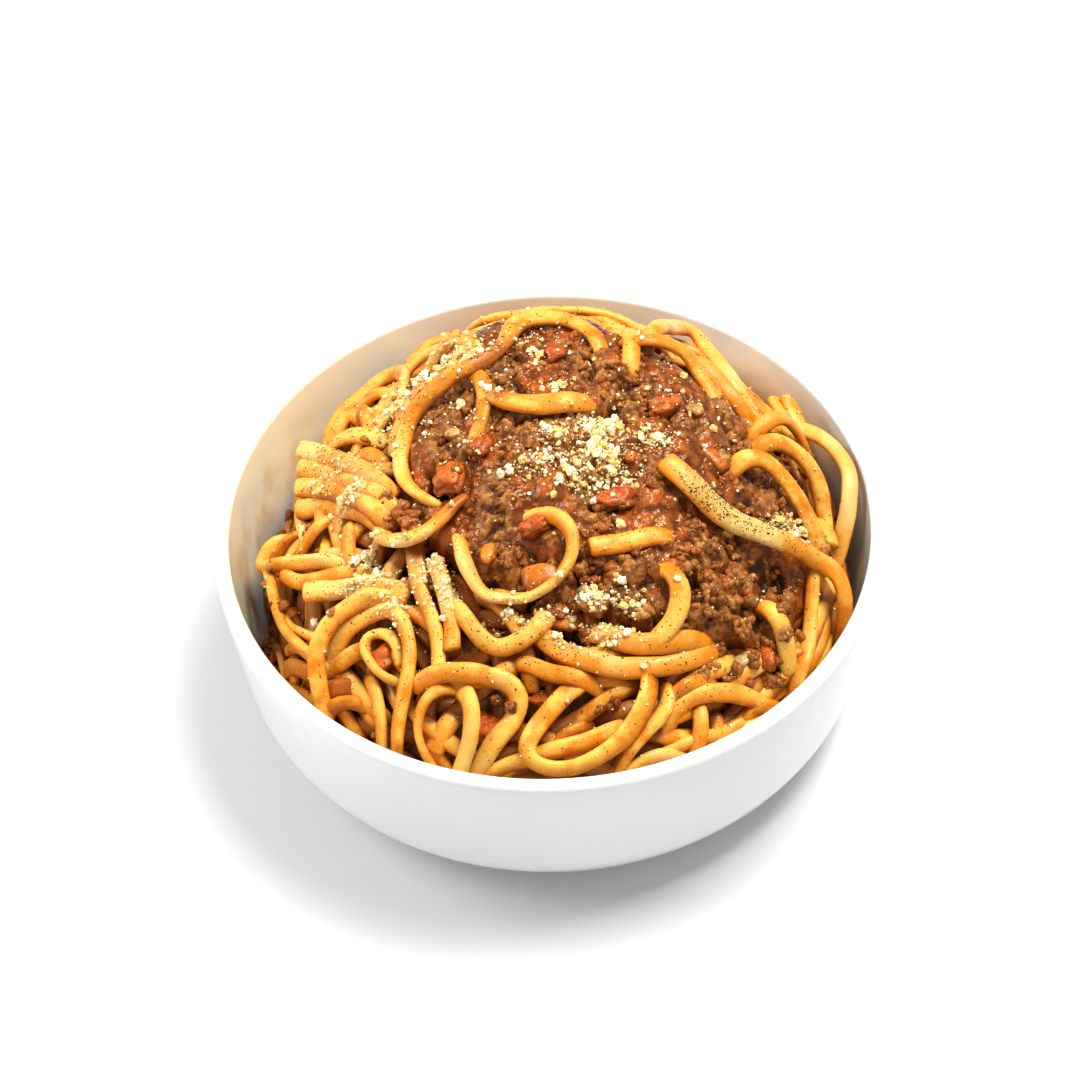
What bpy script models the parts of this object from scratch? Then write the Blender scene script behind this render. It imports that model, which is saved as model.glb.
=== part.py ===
"""Linguine bolognese heaped in a low white bowl.

Units are metres, +Z is up and +Y is the back of the bowl. The origin is the centre of the foot, on the table.
Nodes: the bowl, the heap of linguine, the meat sauce on top of it, and the largest vegetable pieces in the sauce.
"""

import math

import bmesh
import bpy
from mathutils import Quaternion, Vector, noise

# ---- Driving sizes ----
RIM_RADIUS = 0.075
BOWL_HEIGHT = 0.048
FOOT_HEIGHT = 0.003
FOOT_RADIUS = 0.045
FOOT_WIDTH = 0.004
LIP_THICKNESS = 0.0034
WALL_TAPER = 0.0016
STRAIGHT_WALL = 0.008
CORNER_RADIUS = 0.016
FLOOR_THICKNESS = 0.0045

# The heap is a dome that starts where the linguine meets the bowl's wall and rises to a peak behind the centre.
PEAK = Vector((0.004, 0.022))
PEAK_ABOVE_RIM = 0.027
DOME_POWER = 2.1
HEAP_RADIUS = 0.0695
LEFT_INSET = 0.0055
# Below its edge the heap reaches the wall over this drop, and over this share of its lower side where it stands back.
SIDE_DROP = 0.001
SIDE_SHARE = 0.25
# The tangle shows as winding ridges, each a bundle of strands: their height, and how tightly they wind.
RELIEF = 0.0012
RELIEF_WAVE = 0.026
RELIEF_TURNS = 2.2

# The meat sauce is a lens-shaped cap laid over the heap.
SAUCE_CENTRE = Vector((0.011, 0.001))
SAUCE_RADIUS = 0.043
SAUCE_DEPTH = 0.0062
SAUCE_RISE = 0.0012
SAUCE_LUMPS = 0.35
# The cutter that makes room for the sauce rises above the heap's highest humps.
CUTTER_RISE = 0.006

# Pieces that touch keep this gap.
GAP = 0.0003

SEGMENTS = 60
HEAP_RINGS = 36
# This share of the heap's rings lies on its top, the rest inside the bowl.
TOP_RINGS = 2 / 3
SAUCE_SEGMENTS = 36
SAUCE_RINGS = 14
ARC_STEPS = 5

# Vegetable pieces in the sauce: name, place in plan, half sizes, turn in degrees, material.
VEGETABLES = (
    ("tomato_chunk_1", (-0.003, -0.020), (0.0046, 0.0036, 0.0030), 20, "tomato"),
    ("tomato_chunk_2", (0.014, -0.015), (0.0058, 0.0034, 0.0030), 10, "tomato"),
    ("tomato_chunk_3", (-0.021, -0.006), (0.0050, 0.0062, 0.0032), -15, "tomato"),
    ("tomato_chunk_4", (0.026, 0.010), (0.0058, 0.0042, 0.0030), 25, "tomato"),
    ("carrot_slice_1", (-0.002, -0.031), (0.0046, 0.0044, 0.0022), 5, "carrot"),
    ("carrot_slice_2", (0.037, -0.001), (0.0044, 0.0030, 0.0022), -40, "carrot"),
    ("onion_piece_1", (0.0085, -0.0365), (0.0044, 0.0036, 0.0024), -30, "onion"),
)

# Colour, roughness and metallic value of each material.
MATERIALS = {
    "bowl_glaze": ((0.90, 0.91, 0.89), 0.12, 0.0),
    "linguine": ((0.86, 0.55, 0.18), 0.38, 0.0),
    "meat_sauce": ((0.30, 0.10, 0.035), 0.42, 0.0),
    "tomato": ((0.62, 0.11, 0.02), 0.30, 0.0),
    "carrot": ((0.72, 0.26, 0.03), 0.35, 0.0),
    "onion": ((0.55, 0.36, 0.14), 0.35, 0.0),
}


def clear_scene():
    for obj in list(bpy.data.objects):
        bpy.data.objects.remove(obj, do_unlink=True)


def new_collection(name, helper=False):
    collection = bpy.data.collections.new(name)
    bpy.context.scene.collection.children.link(collection)
    collection.hide_render = helper
    return collection


def new_material(name):
    colour, roughness, metallic = MATERIALS[name]
    material = bpy.data.materials.get(name) or bpy.data.materials.new(name)
    material.use_nodes = True
    shader = material.node_tree.nodes["Principled BSDF"]
    shader.inputs["Base Color"].default_value = (*colour, 1.0)
    shader.inputs["Roughness"].default_value = roughness
    shader.inputs["Metallic"].default_value = metallic
    return material


def add_object(name, mesh, collection, material=None):
    obj = bpy.data.objects.new(name, mesh)
    collection.objects.link(obj)
    if material:
        mesh.materials.append(new_material(material))
    return obj


def arc(centre, radius, start, end, steps=ARC_STEPS):
    """Points on an arc in the profile plane, from one angle in degrees to the other, both ends included."""
    angles = [math.radians(start + (end - start) * i / steps) for i in range(steps + 1)]
    return [(centre[0] + radius * math.cos(a), centre[1] + radius * math.sin(a)) for a in angles]


# ---- The bowl ----


def outer_corner():
    return (RIM_RADIUS - WALL_TAPER - CORNER_RADIUS, FOOT_HEIGHT + CORNER_RADIUS)


def inner_profile():
    """The inside of the bowl as (radius, height) points, from the floor's centre out and up to the lip."""
    corner = outer_corner()
    inner_radius = CORNER_RADIUS - FLOOR_THICKNESS
    lip_start = (RIM_RADIUS - LIP_THICKNESS, BOWL_HEIGHT - LIP_THICKNESS / 2)
    return [(0.0, corner[1] - inner_radius)] + arc(corner, inner_radius, -90, 0) + [lip_start]


def bowl_profile():
    """The whole bowl, from the inside of the floor over the lip and down the outside to the underside."""
    lip_centre = (RIM_RADIUS - LIP_THICKNESS / 2, BOWL_HEIGHT - LIP_THICKNESS / 2)
    foot_inner = FOOT_RADIUS - FOOT_WIDTH
    profile = inner_profile()[:-1]
    profile += arc(lip_centre, LIP_THICKNESS / 2, 180, 0)
    profile += [(RIM_RADIUS, BOWL_HEIGHT - STRAIGHT_WALL)]
    profile += arc(outer_corner(), CORNER_RADIUS, 0, -90)
    profile += [(FOOT_RADIUS + FOOT_HEIGHT / 4, FOOT_HEIGHT), (FOOT_RADIUS, 0.0)]
    profile += [(foot_inner, 0.0), (foot_inner - FOOT_HEIGHT / 4, FOOT_HEIGHT)]
    profile += [(0.0, FOOT_HEIGHT)]
    return profile


def make_bowl(collection):
    mesh = bpy.data.meshes.new("bowl")
    outline = bmesh.new()
    points = [outline.verts.new((radius, 0.0, height)) for radius, height in bowl_profile()]
    for first, second in zip(points, points[1:]):
        outline.edges.new((first, second))
    outline.to_mesh(mesh)
    outline.free()
    bowl = add_object("bowl", mesh, collection, "bowl_glaze")
    screw = bowl.modifiers.new("turn", "SCREW")
    screw.steps = SEGMENTS
    screw.render_steps = SEGMENTS
    screw.use_merge_vertices = True
    screw.merge_threshold = 0.00001
    screw.use_smooth_shade = True
    return bowl


# ---- The heap ----


def edge_height(angle):
    """Height at which the heap meets the bowl's wall: lower at the left, higher at the front and back."""
    drop = 0.01275 + 0.00275 * math.cos(2 * angle) - 0.0035 * math.cos(angle) + 0.001 * math.sin(angle)
    return BOWL_HEIGHT - drop


def heap_height(place):
    """Height of the heap's smooth outline over a place in plan."""
    away = place - PEAK
    distance = max(away.length, 1e-6)
    direction = away / distance
    along = PEAK.dot(direction)
    to_edge = -along + math.sqrt(along * along - PEAK.length_squared + HEAP_RADIUS**2)
    edge_point = PEAK + direction * to_edge
    low = edge_height(math.atan2(edge_point.y, edge_point.x))
    share = min(distance / to_edge, 1.0)
    return low + (BOWL_HEIGHT + PEAK_ABOVE_RIM - low) * (1 - share**DOME_POWER)


def relief(place, height):
    """Winding ridges and furrows, which follow the level lines of a smooth noise."""
    level = noise.noise(Vector((place.x, place.y, height)) / RELIEF_WAVE)
    return RELIEF * math.cos(RELIEF_TURNS * 2 * math.pi * level)


def heap_edge_radius(angle):
    """The heap stands back from the wall at the left."""
    from_left = (math.degrees(angle) % 360 - 175) / 48
    return HEAP_RADIUS - LEFT_INSET * math.exp(-(from_left**2))


def wall_below(height):
    """The inside of the bowl from a height on its wall down to the middle of the floor."""
    profile = inner_profile()[::-1]
    (top_radius, top), (low_radius, low) = profile[:2]
    radius = low_radius + (top_radius - low_radius) * (height - low) / (top - low)
    return [(radius, height)] + profile[1:]


def point_on(profile, share):
    """The point a share of the way along a profile."""
    lengths = [math.dist(a, b) for a, b in zip(profile, profile[1:])]
    target = share * sum(lengths)
    for first, second, length in zip(profile, profile[1:], lengths):
        if target <= length:
            part = target / length
            return [a + (b - a) * part for a, b in zip(first, second)]
        target -= length
    return profile[-1]


def make_sphere(segments, rings):
    """A unit sphere, whose upper and lower halves are then laid on two surfaces."""
    sphere = bmesh.new()
    bmesh.ops.create_uvsphere(sphere, u_segments=segments, v_segments=rings, radius=1.0)
    return sphere


def lay_heap_point(unit):
    """Puts a point of the unit sphere on the heap: the upper half on its top, the lower half inside the bowl."""
    angle = math.atan2(unit.y, unit.x)
    outward = Vector((math.cos(angle), math.sin(angle)))
    downward = math.acos(max(-1.0, min(1.0, unit.z))) / math.pi
    edge = heap_edge_radius(angle)
    if downward <= TOP_RINGS + 1e-4:
        share = min(downward / TOP_RINGS, 1.0)
        place = outward * edge * share
        fade = 1 - share**6
        smooth = heap_height(place)
        return Vector((place.x, place.y, smooth + fade * relief(place, smooth)))
    share = (downward - TOP_RINGS) / (1 - TOP_RINGS)
    radius, height = point_on(wall_below(edge_height(angle) - SIDE_DROP), share)
    standing_back = (HEAP_RADIUS - edge) * max(0.0, 1 - share / SIDE_SHARE)
    radius = max(0.0, radius - GAP - standing_back)
    return Vector((outward.x * radius, outward.y * radius, height + GAP))


def make_heap(collection):
    sphere = make_sphere(SEGMENTS, HEAP_RINGS)
    for vertex in sphere.verts:
        vertex.co = lay_heap_point(vertex.co)
    mesh = bpy.data.meshes.new("linguine_heap")
    sphere.to_mesh(mesh)
    sphere.free()
    mesh.shade_smooth()
    return add_object("linguine_heap", mesh, collection, "linguine")


# ---- The sauce ----


def sauce_edge(angle):
    """The sauce's irregular outline: long from the back left to the front right, with tongues between the strands."""
    long_way = 0.0075 * math.cos(2 * (angle + math.radians(38)))
    tongues = 0.0030 * math.cos(3 * angle + 0.6) + 0.0016 * math.cos(7 * angle)
    return SAUCE_RADIUS + long_way + tongues


def lay_sauce_point(unit, rise, grow):
    """Puts a point of the unit sphere on the sauce: a lens over the heap, grown by a margin when it is a cutter."""
    angle = math.atan2(unit.y, unit.x)
    flat = math.hypot(unit.x, unit.y)
    place = SAUCE_CENTRE + Vector((math.cos(angle), math.sin(angle))) * (sauce_edge(angle) + grow) * flat
    surface = heap_height(place)
    if unit.z > 0:
        lift = (rise + relief(place, surface) * SAUCE_LUMPS) * unit.z
    else:
        lift = (SAUCE_DEPTH + grow) * unit.z
    return Vector((place.x, place.y, surface + lift))


def make_sauce(name, collection, rise=SAUCE_RISE, grow=0.0, material=None):
    sphere = make_sphere(SAUCE_SEGMENTS, SAUCE_RINGS)
    for vertex in sphere.verts:
        vertex.co = lay_sauce_point(vertex.co, rise, grow)
    mesh = bpy.data.meshes.new(name)
    sphere.to_mesh(mesh)
    sphere.free()
    mesh.shade_smooth()
    return add_object(name, mesh, collection, material)


# ---- Vegetable pieces ----


def make_vegetable(name, place, half_sizes, turn, collection, grow=0.0, material=None):
    """A rounded, slightly lumpy chunk that sits half sunk in the sauce."""
    chunk = bmesh.new()
    bmesh.ops.create_icosphere(chunk, subdivisions=2, radius=1.0)
    for vertex in chunk.verts:
        lump = 1 + 0.16 * noise.noise(vertex.co * 1.3 + Vector(place).to_3d() * 400)
        boxy = 1 / max(abs(value) for value in vertex.co) ** 0.35
        vertex.co = Vector([c * lump * boxy * (half + grow) for c, half in zip(vertex.co, half_sizes)])
    mesh = bpy.data.meshes.new(name)
    chunk.to_mesh(mesh)
    chunk.free()
    mesh.shade_smooth()
    piece = add_object(name, mesh, collection, material)
    spot = Vector(place)
    step = 0.002
    slope_x = (heap_height(spot + Vector((step, 0))) - heap_height(spot - Vector((step, 0)))) / (2 * step)
    slope_y = (heap_height(spot + Vector((0, step))) - heap_height(spot - Vector((0, step)))) / (2 * step)
    upward = Vector((-slope_x, -slope_y, 1.0)).normalized()
    piece.rotation_mode = "QUATERNION"
    piece.rotation_quaternion = upward.to_track_quat("Z", "Y") @ Quaternion((0, 0, 1), math.radians(turn))
    piece.location = (spot.x, spot.y, heap_height(spot) - 0.15 * half_sizes[2])
    return piece


def cut(piece, cutter):
    """Leaves room in a piece for its neighbour."""
    boolean = piece.modifiers.new("room for " + cutter.name, "BOOLEAN")
    boolean.operation = "DIFFERENCE"
    boolean.object = cutter


def main():
    clear_scene()
    parts = new_collection("linguine_bolognese")
    cutters = new_collection("cutters", helper=True)
    make_bowl(parts)
    heap = make_heap(parts)
    sauce = make_sauce("meat_sauce", parts, material="meat_sauce")
    cut(heap, make_sauce("sauce_cutter", cutters, rise=CUTTER_RISE, grow=GAP))
    for name, place, half_sizes, turn, material in VEGETABLES:
        make_vegetable(name, place, half_sizes, turn, parts, material=material)
        room = make_vegetable(name + "_cutter", place, half_sizes, turn, cutters, grow=GAP)
        cut(sauce, room)
        cut(heap, room)
    for cutter in cutters.objects:
        cutter.hide_render = True
        cutter.display_type = "WIRE"


main()
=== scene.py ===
"""Looks of the linguine bolognese in its bowl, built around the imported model.

Shapes are worked out in millimetres and scaled to metres when their meshes are made.
+Z is up and +Y is the back. The food is laid piece by piece on a map of the pile's height,
so each strand and crumb rests on what lies below it.
"""

import itertools
import math

import bmesh
import bpy
import numpy as np
from mathutils import Matrix, Vector
from mathutils.bvhtree import BVHTree


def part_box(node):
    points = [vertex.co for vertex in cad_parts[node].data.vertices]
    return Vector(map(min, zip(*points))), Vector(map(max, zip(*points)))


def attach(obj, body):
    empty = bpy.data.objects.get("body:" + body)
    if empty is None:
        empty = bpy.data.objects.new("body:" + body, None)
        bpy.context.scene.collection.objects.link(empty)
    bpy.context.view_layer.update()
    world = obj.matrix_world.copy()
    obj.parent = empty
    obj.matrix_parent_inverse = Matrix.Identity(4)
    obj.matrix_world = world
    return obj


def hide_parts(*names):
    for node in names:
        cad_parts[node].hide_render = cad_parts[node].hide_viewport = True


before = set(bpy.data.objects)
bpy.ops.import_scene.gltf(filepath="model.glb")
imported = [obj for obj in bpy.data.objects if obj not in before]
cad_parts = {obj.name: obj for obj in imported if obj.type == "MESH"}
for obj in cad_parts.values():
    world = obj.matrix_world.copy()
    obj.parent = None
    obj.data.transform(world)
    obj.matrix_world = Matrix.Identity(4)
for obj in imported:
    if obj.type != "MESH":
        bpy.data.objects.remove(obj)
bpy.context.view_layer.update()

MM = 0.001

# ---- Sizes in millimetres ----
FOOT_HEIGHT = 3.0
FOOT_RADIUS = 45.0
FOOT_WIDTH = 4.0
LIP_THICKNESS = 3.4
WALL_TAPER = 1.6
STRAIGHT_WALL = 8.0
CORNER_RADIUS = 16.0
FLOOR_THICKNESS = 4.5

STRAND_WIDTH = 4.2
# Thickness of a strand as a share of its width, and the most it can be.
FLATNESS = 0.58
STRAND_THICKNESS = 2.7
STRAND_STEP = 1.2
# Sides of a strand's section, under the pile and on top of it.
UNDER_SIDES = 8
TOP_SIDES = 12
# A strand's section lies between an oval, at 1, and a box, as pressed pasta has.
SQUARENESS = 0.85
# Its soft ends are two more rings: how far beyond, and how much narrower as shares of the half sizes.
END_REACH = np.array([[0.55], [0.85]])
END_SHRINK = np.array([0.09, 0.275])
# How fast a strand sinks beside what holds it up, per millimetre squared.
SAG = 0.055
# Length over which an end goes down into the pile.
DIVE_LENGTH = 8.5

# How far under the pile's outline the core and the lower strands stay.
CORE_DEPTH = 10.5
UNDER_DEPTH = 2.2
# How much deeper the strands lie where sauce covers them.
UNDER_SAUCE = 4.5
# How far under the pile's outline the sauce lies on the whole, and the spacing of its sheet's points.
SAUCE_DEPTH = 1.9
SHEET_STEP = 0.37
# Less than this share of sauce counts as none.
SAUCE_EDGE = 0.05
WALL_CLEARANCE = 0.3
# Strands start, and heaped grains land, inside the first radius; mince and loose grains inside the second.
FOOD_RADIUS = 67.0
LOOSE_RADIUS = 66.0
# Winding strands turn back from the wall beyond this radius.
TURN_RADIUS = 54.0
# Room between the core and the wall.
CORE_MARGIN = 4.5
# Grains fall from this height, and stay off food that faces up less than this.
FALL_HEIGHT = 120.0
STEEPEST = 0.15
# No strand or crumb rises above the first height, and no grain above the second: the food stays about as
# tall as in the CAD model.
CEILING = 77.3
GRAIN_CEILING = CEILING + 0.5

rng = np.random.default_rng(7)


# ---- Noise and the map of the pile's height ----

# Large odd numbers that scatter a cell's place and seed over 32 bits.
PLACE_MIX = np.array([374761393, 668265263, 974634777])
SEED_MIX = 1274126177
BITS_32 = 0xFFFFFFFF


def lattice(cells, seed):
    """A repeatable value from -1 to 1 for each whole-numbered cell."""
    mixed = (np.sum(cells * PLACE_MIX, axis=-1) + seed * SEED_MIX) & BITS_32
    mixed = ((mixed ^ (mixed >> 13)) * SEED_MIX) & BITS_32
    return (mixed ^ (mixed >> 16)) / (BITS_32 // 2) - 1


def noise(points, size, seed=0):
    """Smooth noise from -1 to 1 at 3-D points, with humps about that size."""
    scaled = np.asarray(points, float) / size
    cell = np.floor(scaled)
    part = scaled - cell
    part = part * part * (3 - 2 * part)
    cell = cell.astype(np.int64)
    total = 0
    for corner in itertools.product((0, 1), repeat=3):
        weight = np.prod(np.where(corner, part, 1 - part), axis=-1)
        total = total + weight * lattice(cell + np.array(corner), seed)
    return total


def layered(points, size, layers=3, seed=0):
    """Noise with finer and fainter humps added."""
    return sum(noise(points, size / 2**i, seed + i) / 2**i for i in range(layers))


def granules(plan, size, seed):
    """Round bumps of uneven size, about that far apart, as heights from 0 to 1 at places in plan."""
    scaled = np.asarray(plan, float) / size
    home = np.floor(scaled).astype(np.int64)
    heights = np.zeros(len(scaled))
    for step in itertools.product((-1, 0, 1), repeat=2):
        cell = np.column_stack([home + np.array(step), np.zeros(len(home), np.int64)])
        shift = np.stack([lattice(cell, seed), lattice(cell, seed + 1)], axis=1)
        away = np.linalg.norm(scaled - cell[:, :2] - 0.5 - 0.45 * shift, axis=1)
        radius = 0.62 + 0.22 * lattice(cell, seed + 2)
        bump = np.sqrt(np.maximum(0, 1 - (away / radius) ** 2))
        heights = np.maximum(heights, bump * (0.75 + 0.25 * lattice(cell, seed + 3)))
    return heights


# The maps' square cells: their size and how many there are each way.
CELL = 0.5
CELLS = 305
AXIS = (np.arange(CELLS) - CELLS // 2) * CELL
GRID_X, GRID_Y = np.meshgrid(AXIS, AXIS, indexing="ij")
GRID = np.stack([GRID_X, GRID_Y], axis=-1).reshape(-1, 2)


def seen_from_above(*nodes):
    """Height of the highest of these CAD nodes over each cell of the grid, or nan."""
    heights = np.full(GRID_X.shape, np.nan)
    for name in nodes:
        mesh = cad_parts[name].data
        tree = BVHTree.FromPolygons([v.co for v in mesh.vertices], [p.vertices for p in mesh.polygons])
        low, high = (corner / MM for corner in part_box(name))
        for i in np.flatnonzero((AXIS >= low.x) & (AXIS <= high.x)):
            for j in np.flatnonzero((AXIS >= low.y) & (AXIS <= high.y)):
                hit = tree.ray_cast(Vector((AXIS[i] * MM, AXIS[j] * MM, 1.0)), Vector((0, 0, -1)))[0]
                if hit is not None:
                    heights[i, j] = np.nanmax((heights[i, j], hit.z / MM))
    return heights


def blurred(field, size):
    """A field smoothed over that many millimetres."""
    wave = np.fft.fftfreq(CELLS, CELL)
    keep = np.exp(-2 * (math.pi * size * wave) ** 2)
    return np.fft.ifft2(np.fft.fft2(field) * keep[:, None] * keep[None, :]).real


def at(field, plan):
    """A field's value at places in plan, between its cells."""
    spot = np.clip(np.asarray(plan, float) / CELL + CELLS // 2, 0, CELLS - 1.001)
    cell = spot.astype(int)
    x, y = (spot - cell)[..., 0], (spot - cell)[..., 1]
    i, j = cell[..., 0], cell[..., 1]
    low = field[i, j] * (1 - y) + field[i, j + 1] * y
    high = field[i + 1, j] * (1 - y) + field[i + 1, j + 1] * y
    return low * (1 - x) + high * x


def raise_to(plan, heights):
    """Raises the pile's map to these heights at these places."""
    cell = np.clip(np.rint(plan / CELL).astype(int) + CELLS // 2, 0, CELLS - 1)
    np.maximum.at(pile, (cell[..., 0], cell[..., 1]), heights)


# The food's outline in the CAD model, and the map of the pile, which starts as the core in the bowl.
sauce_top = seen_from_above("meat_sauce")
heap_top = np.fmax(seen_from_above("linguine_heap"), sauce_top)
bowl_top = np.nan_to_num(seen_from_above("bowl"), nan=0.0)
inside = ~np.isnan(heap_top)
in_sauce = blurred(np.where(np.isnan(sauce_top), 0.0, 1.0), 1.5)
edge_height = float(np.nanmin(heap_top))
smooth_goal = blurred(np.where(inside, heap_top, edge_height), 3.0)
slope_x, slope_y = np.gradient(smooth_goal, CELL)
pile = np.where(inside, np.maximum(heap_top - CORE_DEPTH, bowl_top), bowl_top)


# ---- Making meshes ----


class Shape:
    """Vertices, faces and per-vertex values of one piece, gathered bit by bit."""

    def __init__(self):
        self.points, self.faces, self.values, self.count = [], [], {}, 0

    def add(self, points, faces, **values):
        self.points.append(points)
        self.faces += [face + self.count for face in faces]
        for name, value in values.items():
            self.values.setdefault(name, []).append(np.broadcast_to(value, len(points)))
        self.count += len(points)

    def make(self, name, material, slot, replaced=(), smooth=True):
        """Turns what was gathered into a piece of the scene."""
        mesh = bpy.data.meshes.new(name)
        rows = [row for block in self.faces for row in block.tolist()]
        mesh.from_pydata((np.concatenate(self.points) * MM).tolist(), [], rows)
        for label, parts in self.values.items():
            layer = mesh.attributes.new(label, "FLOAT", "POINT")
            layer.data.foreach_set("value", np.concatenate(parts).astype(np.float32))
        if smooth:
            mesh.shade_smooth()
        mesh.update()
        return add_piece(name, mesh, material, replaced)


def add_piece(name, mesh, material, replaced=()):
    """Puts a mesh in the scene as a piece that rides on the root and in place of CAD nodes."""
    piece = bpy.data.objects.new(name, mesh)
    bpy.context.scene.collection.objects.link(piece)
    mesh.materials.append(material)
    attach(piece, "root")
    if replaced:
        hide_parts(*replaced)
    return piece


def tube_faces(rings, sides):
    """Quads between rings of vertices, and fans that close the two ends on their middle vertices."""
    ring, side = np.meshgrid(np.arange(rings - 1), np.arange(sides), indexing="ij")
    a = (ring * sides + side).ravel()
    b = (ring * sides + (side + 1) % sides).ravel()
    walls = np.stack([a, b, b + sides, a + sides], axis=1)
    edge = np.arange(sides)
    following = (edge + 1) % sides
    last = (rings - 1) * sides
    first_cap = np.stack([following, edge, np.full(sides, rings * sides)], axis=1)
    last_cap = np.stack([last + edge, last + following, np.full(sides, rings * sides + 1)], axis=1)
    return [walls, first_cap, last_cap]


# ---- Strands ----


def plan_path(points, step=STRAND_STEP):
    """A smooth curve through places in plan, with evenly spaced points."""
    points = np.array(points, float)
    ends = [2 * points[:1] - points[1:2], points, 2 * points[-1:] - points[-2:-1]]
    a, b, c, d = (np.concatenate(ends)[i : len(points) + i - 1] for i in range(4))
    t = np.linspace(0, 1, 16, endpoint=False)[:, None, None]
    curve = b + 0.5 * t * (c - a + t * (2 * a - 5 * b + 4 * c - d + t * (3 * (b - c) + d - a)))
    curve = np.concatenate([curve.transpose(1, 0, 2).reshape(-1, 2), points[-1:]])
    along = np.concatenate([[0], np.cumsum(np.linalg.norm(np.diff(curve, axis=0), axis=1))])
    wanted = np.linspace(0, along[-1], max(4, round(along[-1] / step)))
    return np.stack([np.interp(wanted, along, curve[:, k]) for k in range(2)], axis=1)


def eased(values, rounds):
    """Values along a strand with their kinks smoothed out."""
    for _ in range(rounds):
        padded = np.concatenate([values[:1], values, values[-1:]])
        values = (padded[:-2] + 2 * padded[1:-1] + padded[2:]) / 4
    return values


def on_floor(plan):
    """Places in plan as points at height 0."""
    return np.column_stack([plan, np.zeros(len(plan))])


def unit(vectors):
    """The same directions, with a length of one."""
    return vectors / np.linalg.norm(vectors, axis=-1, keepdims=True)


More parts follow.
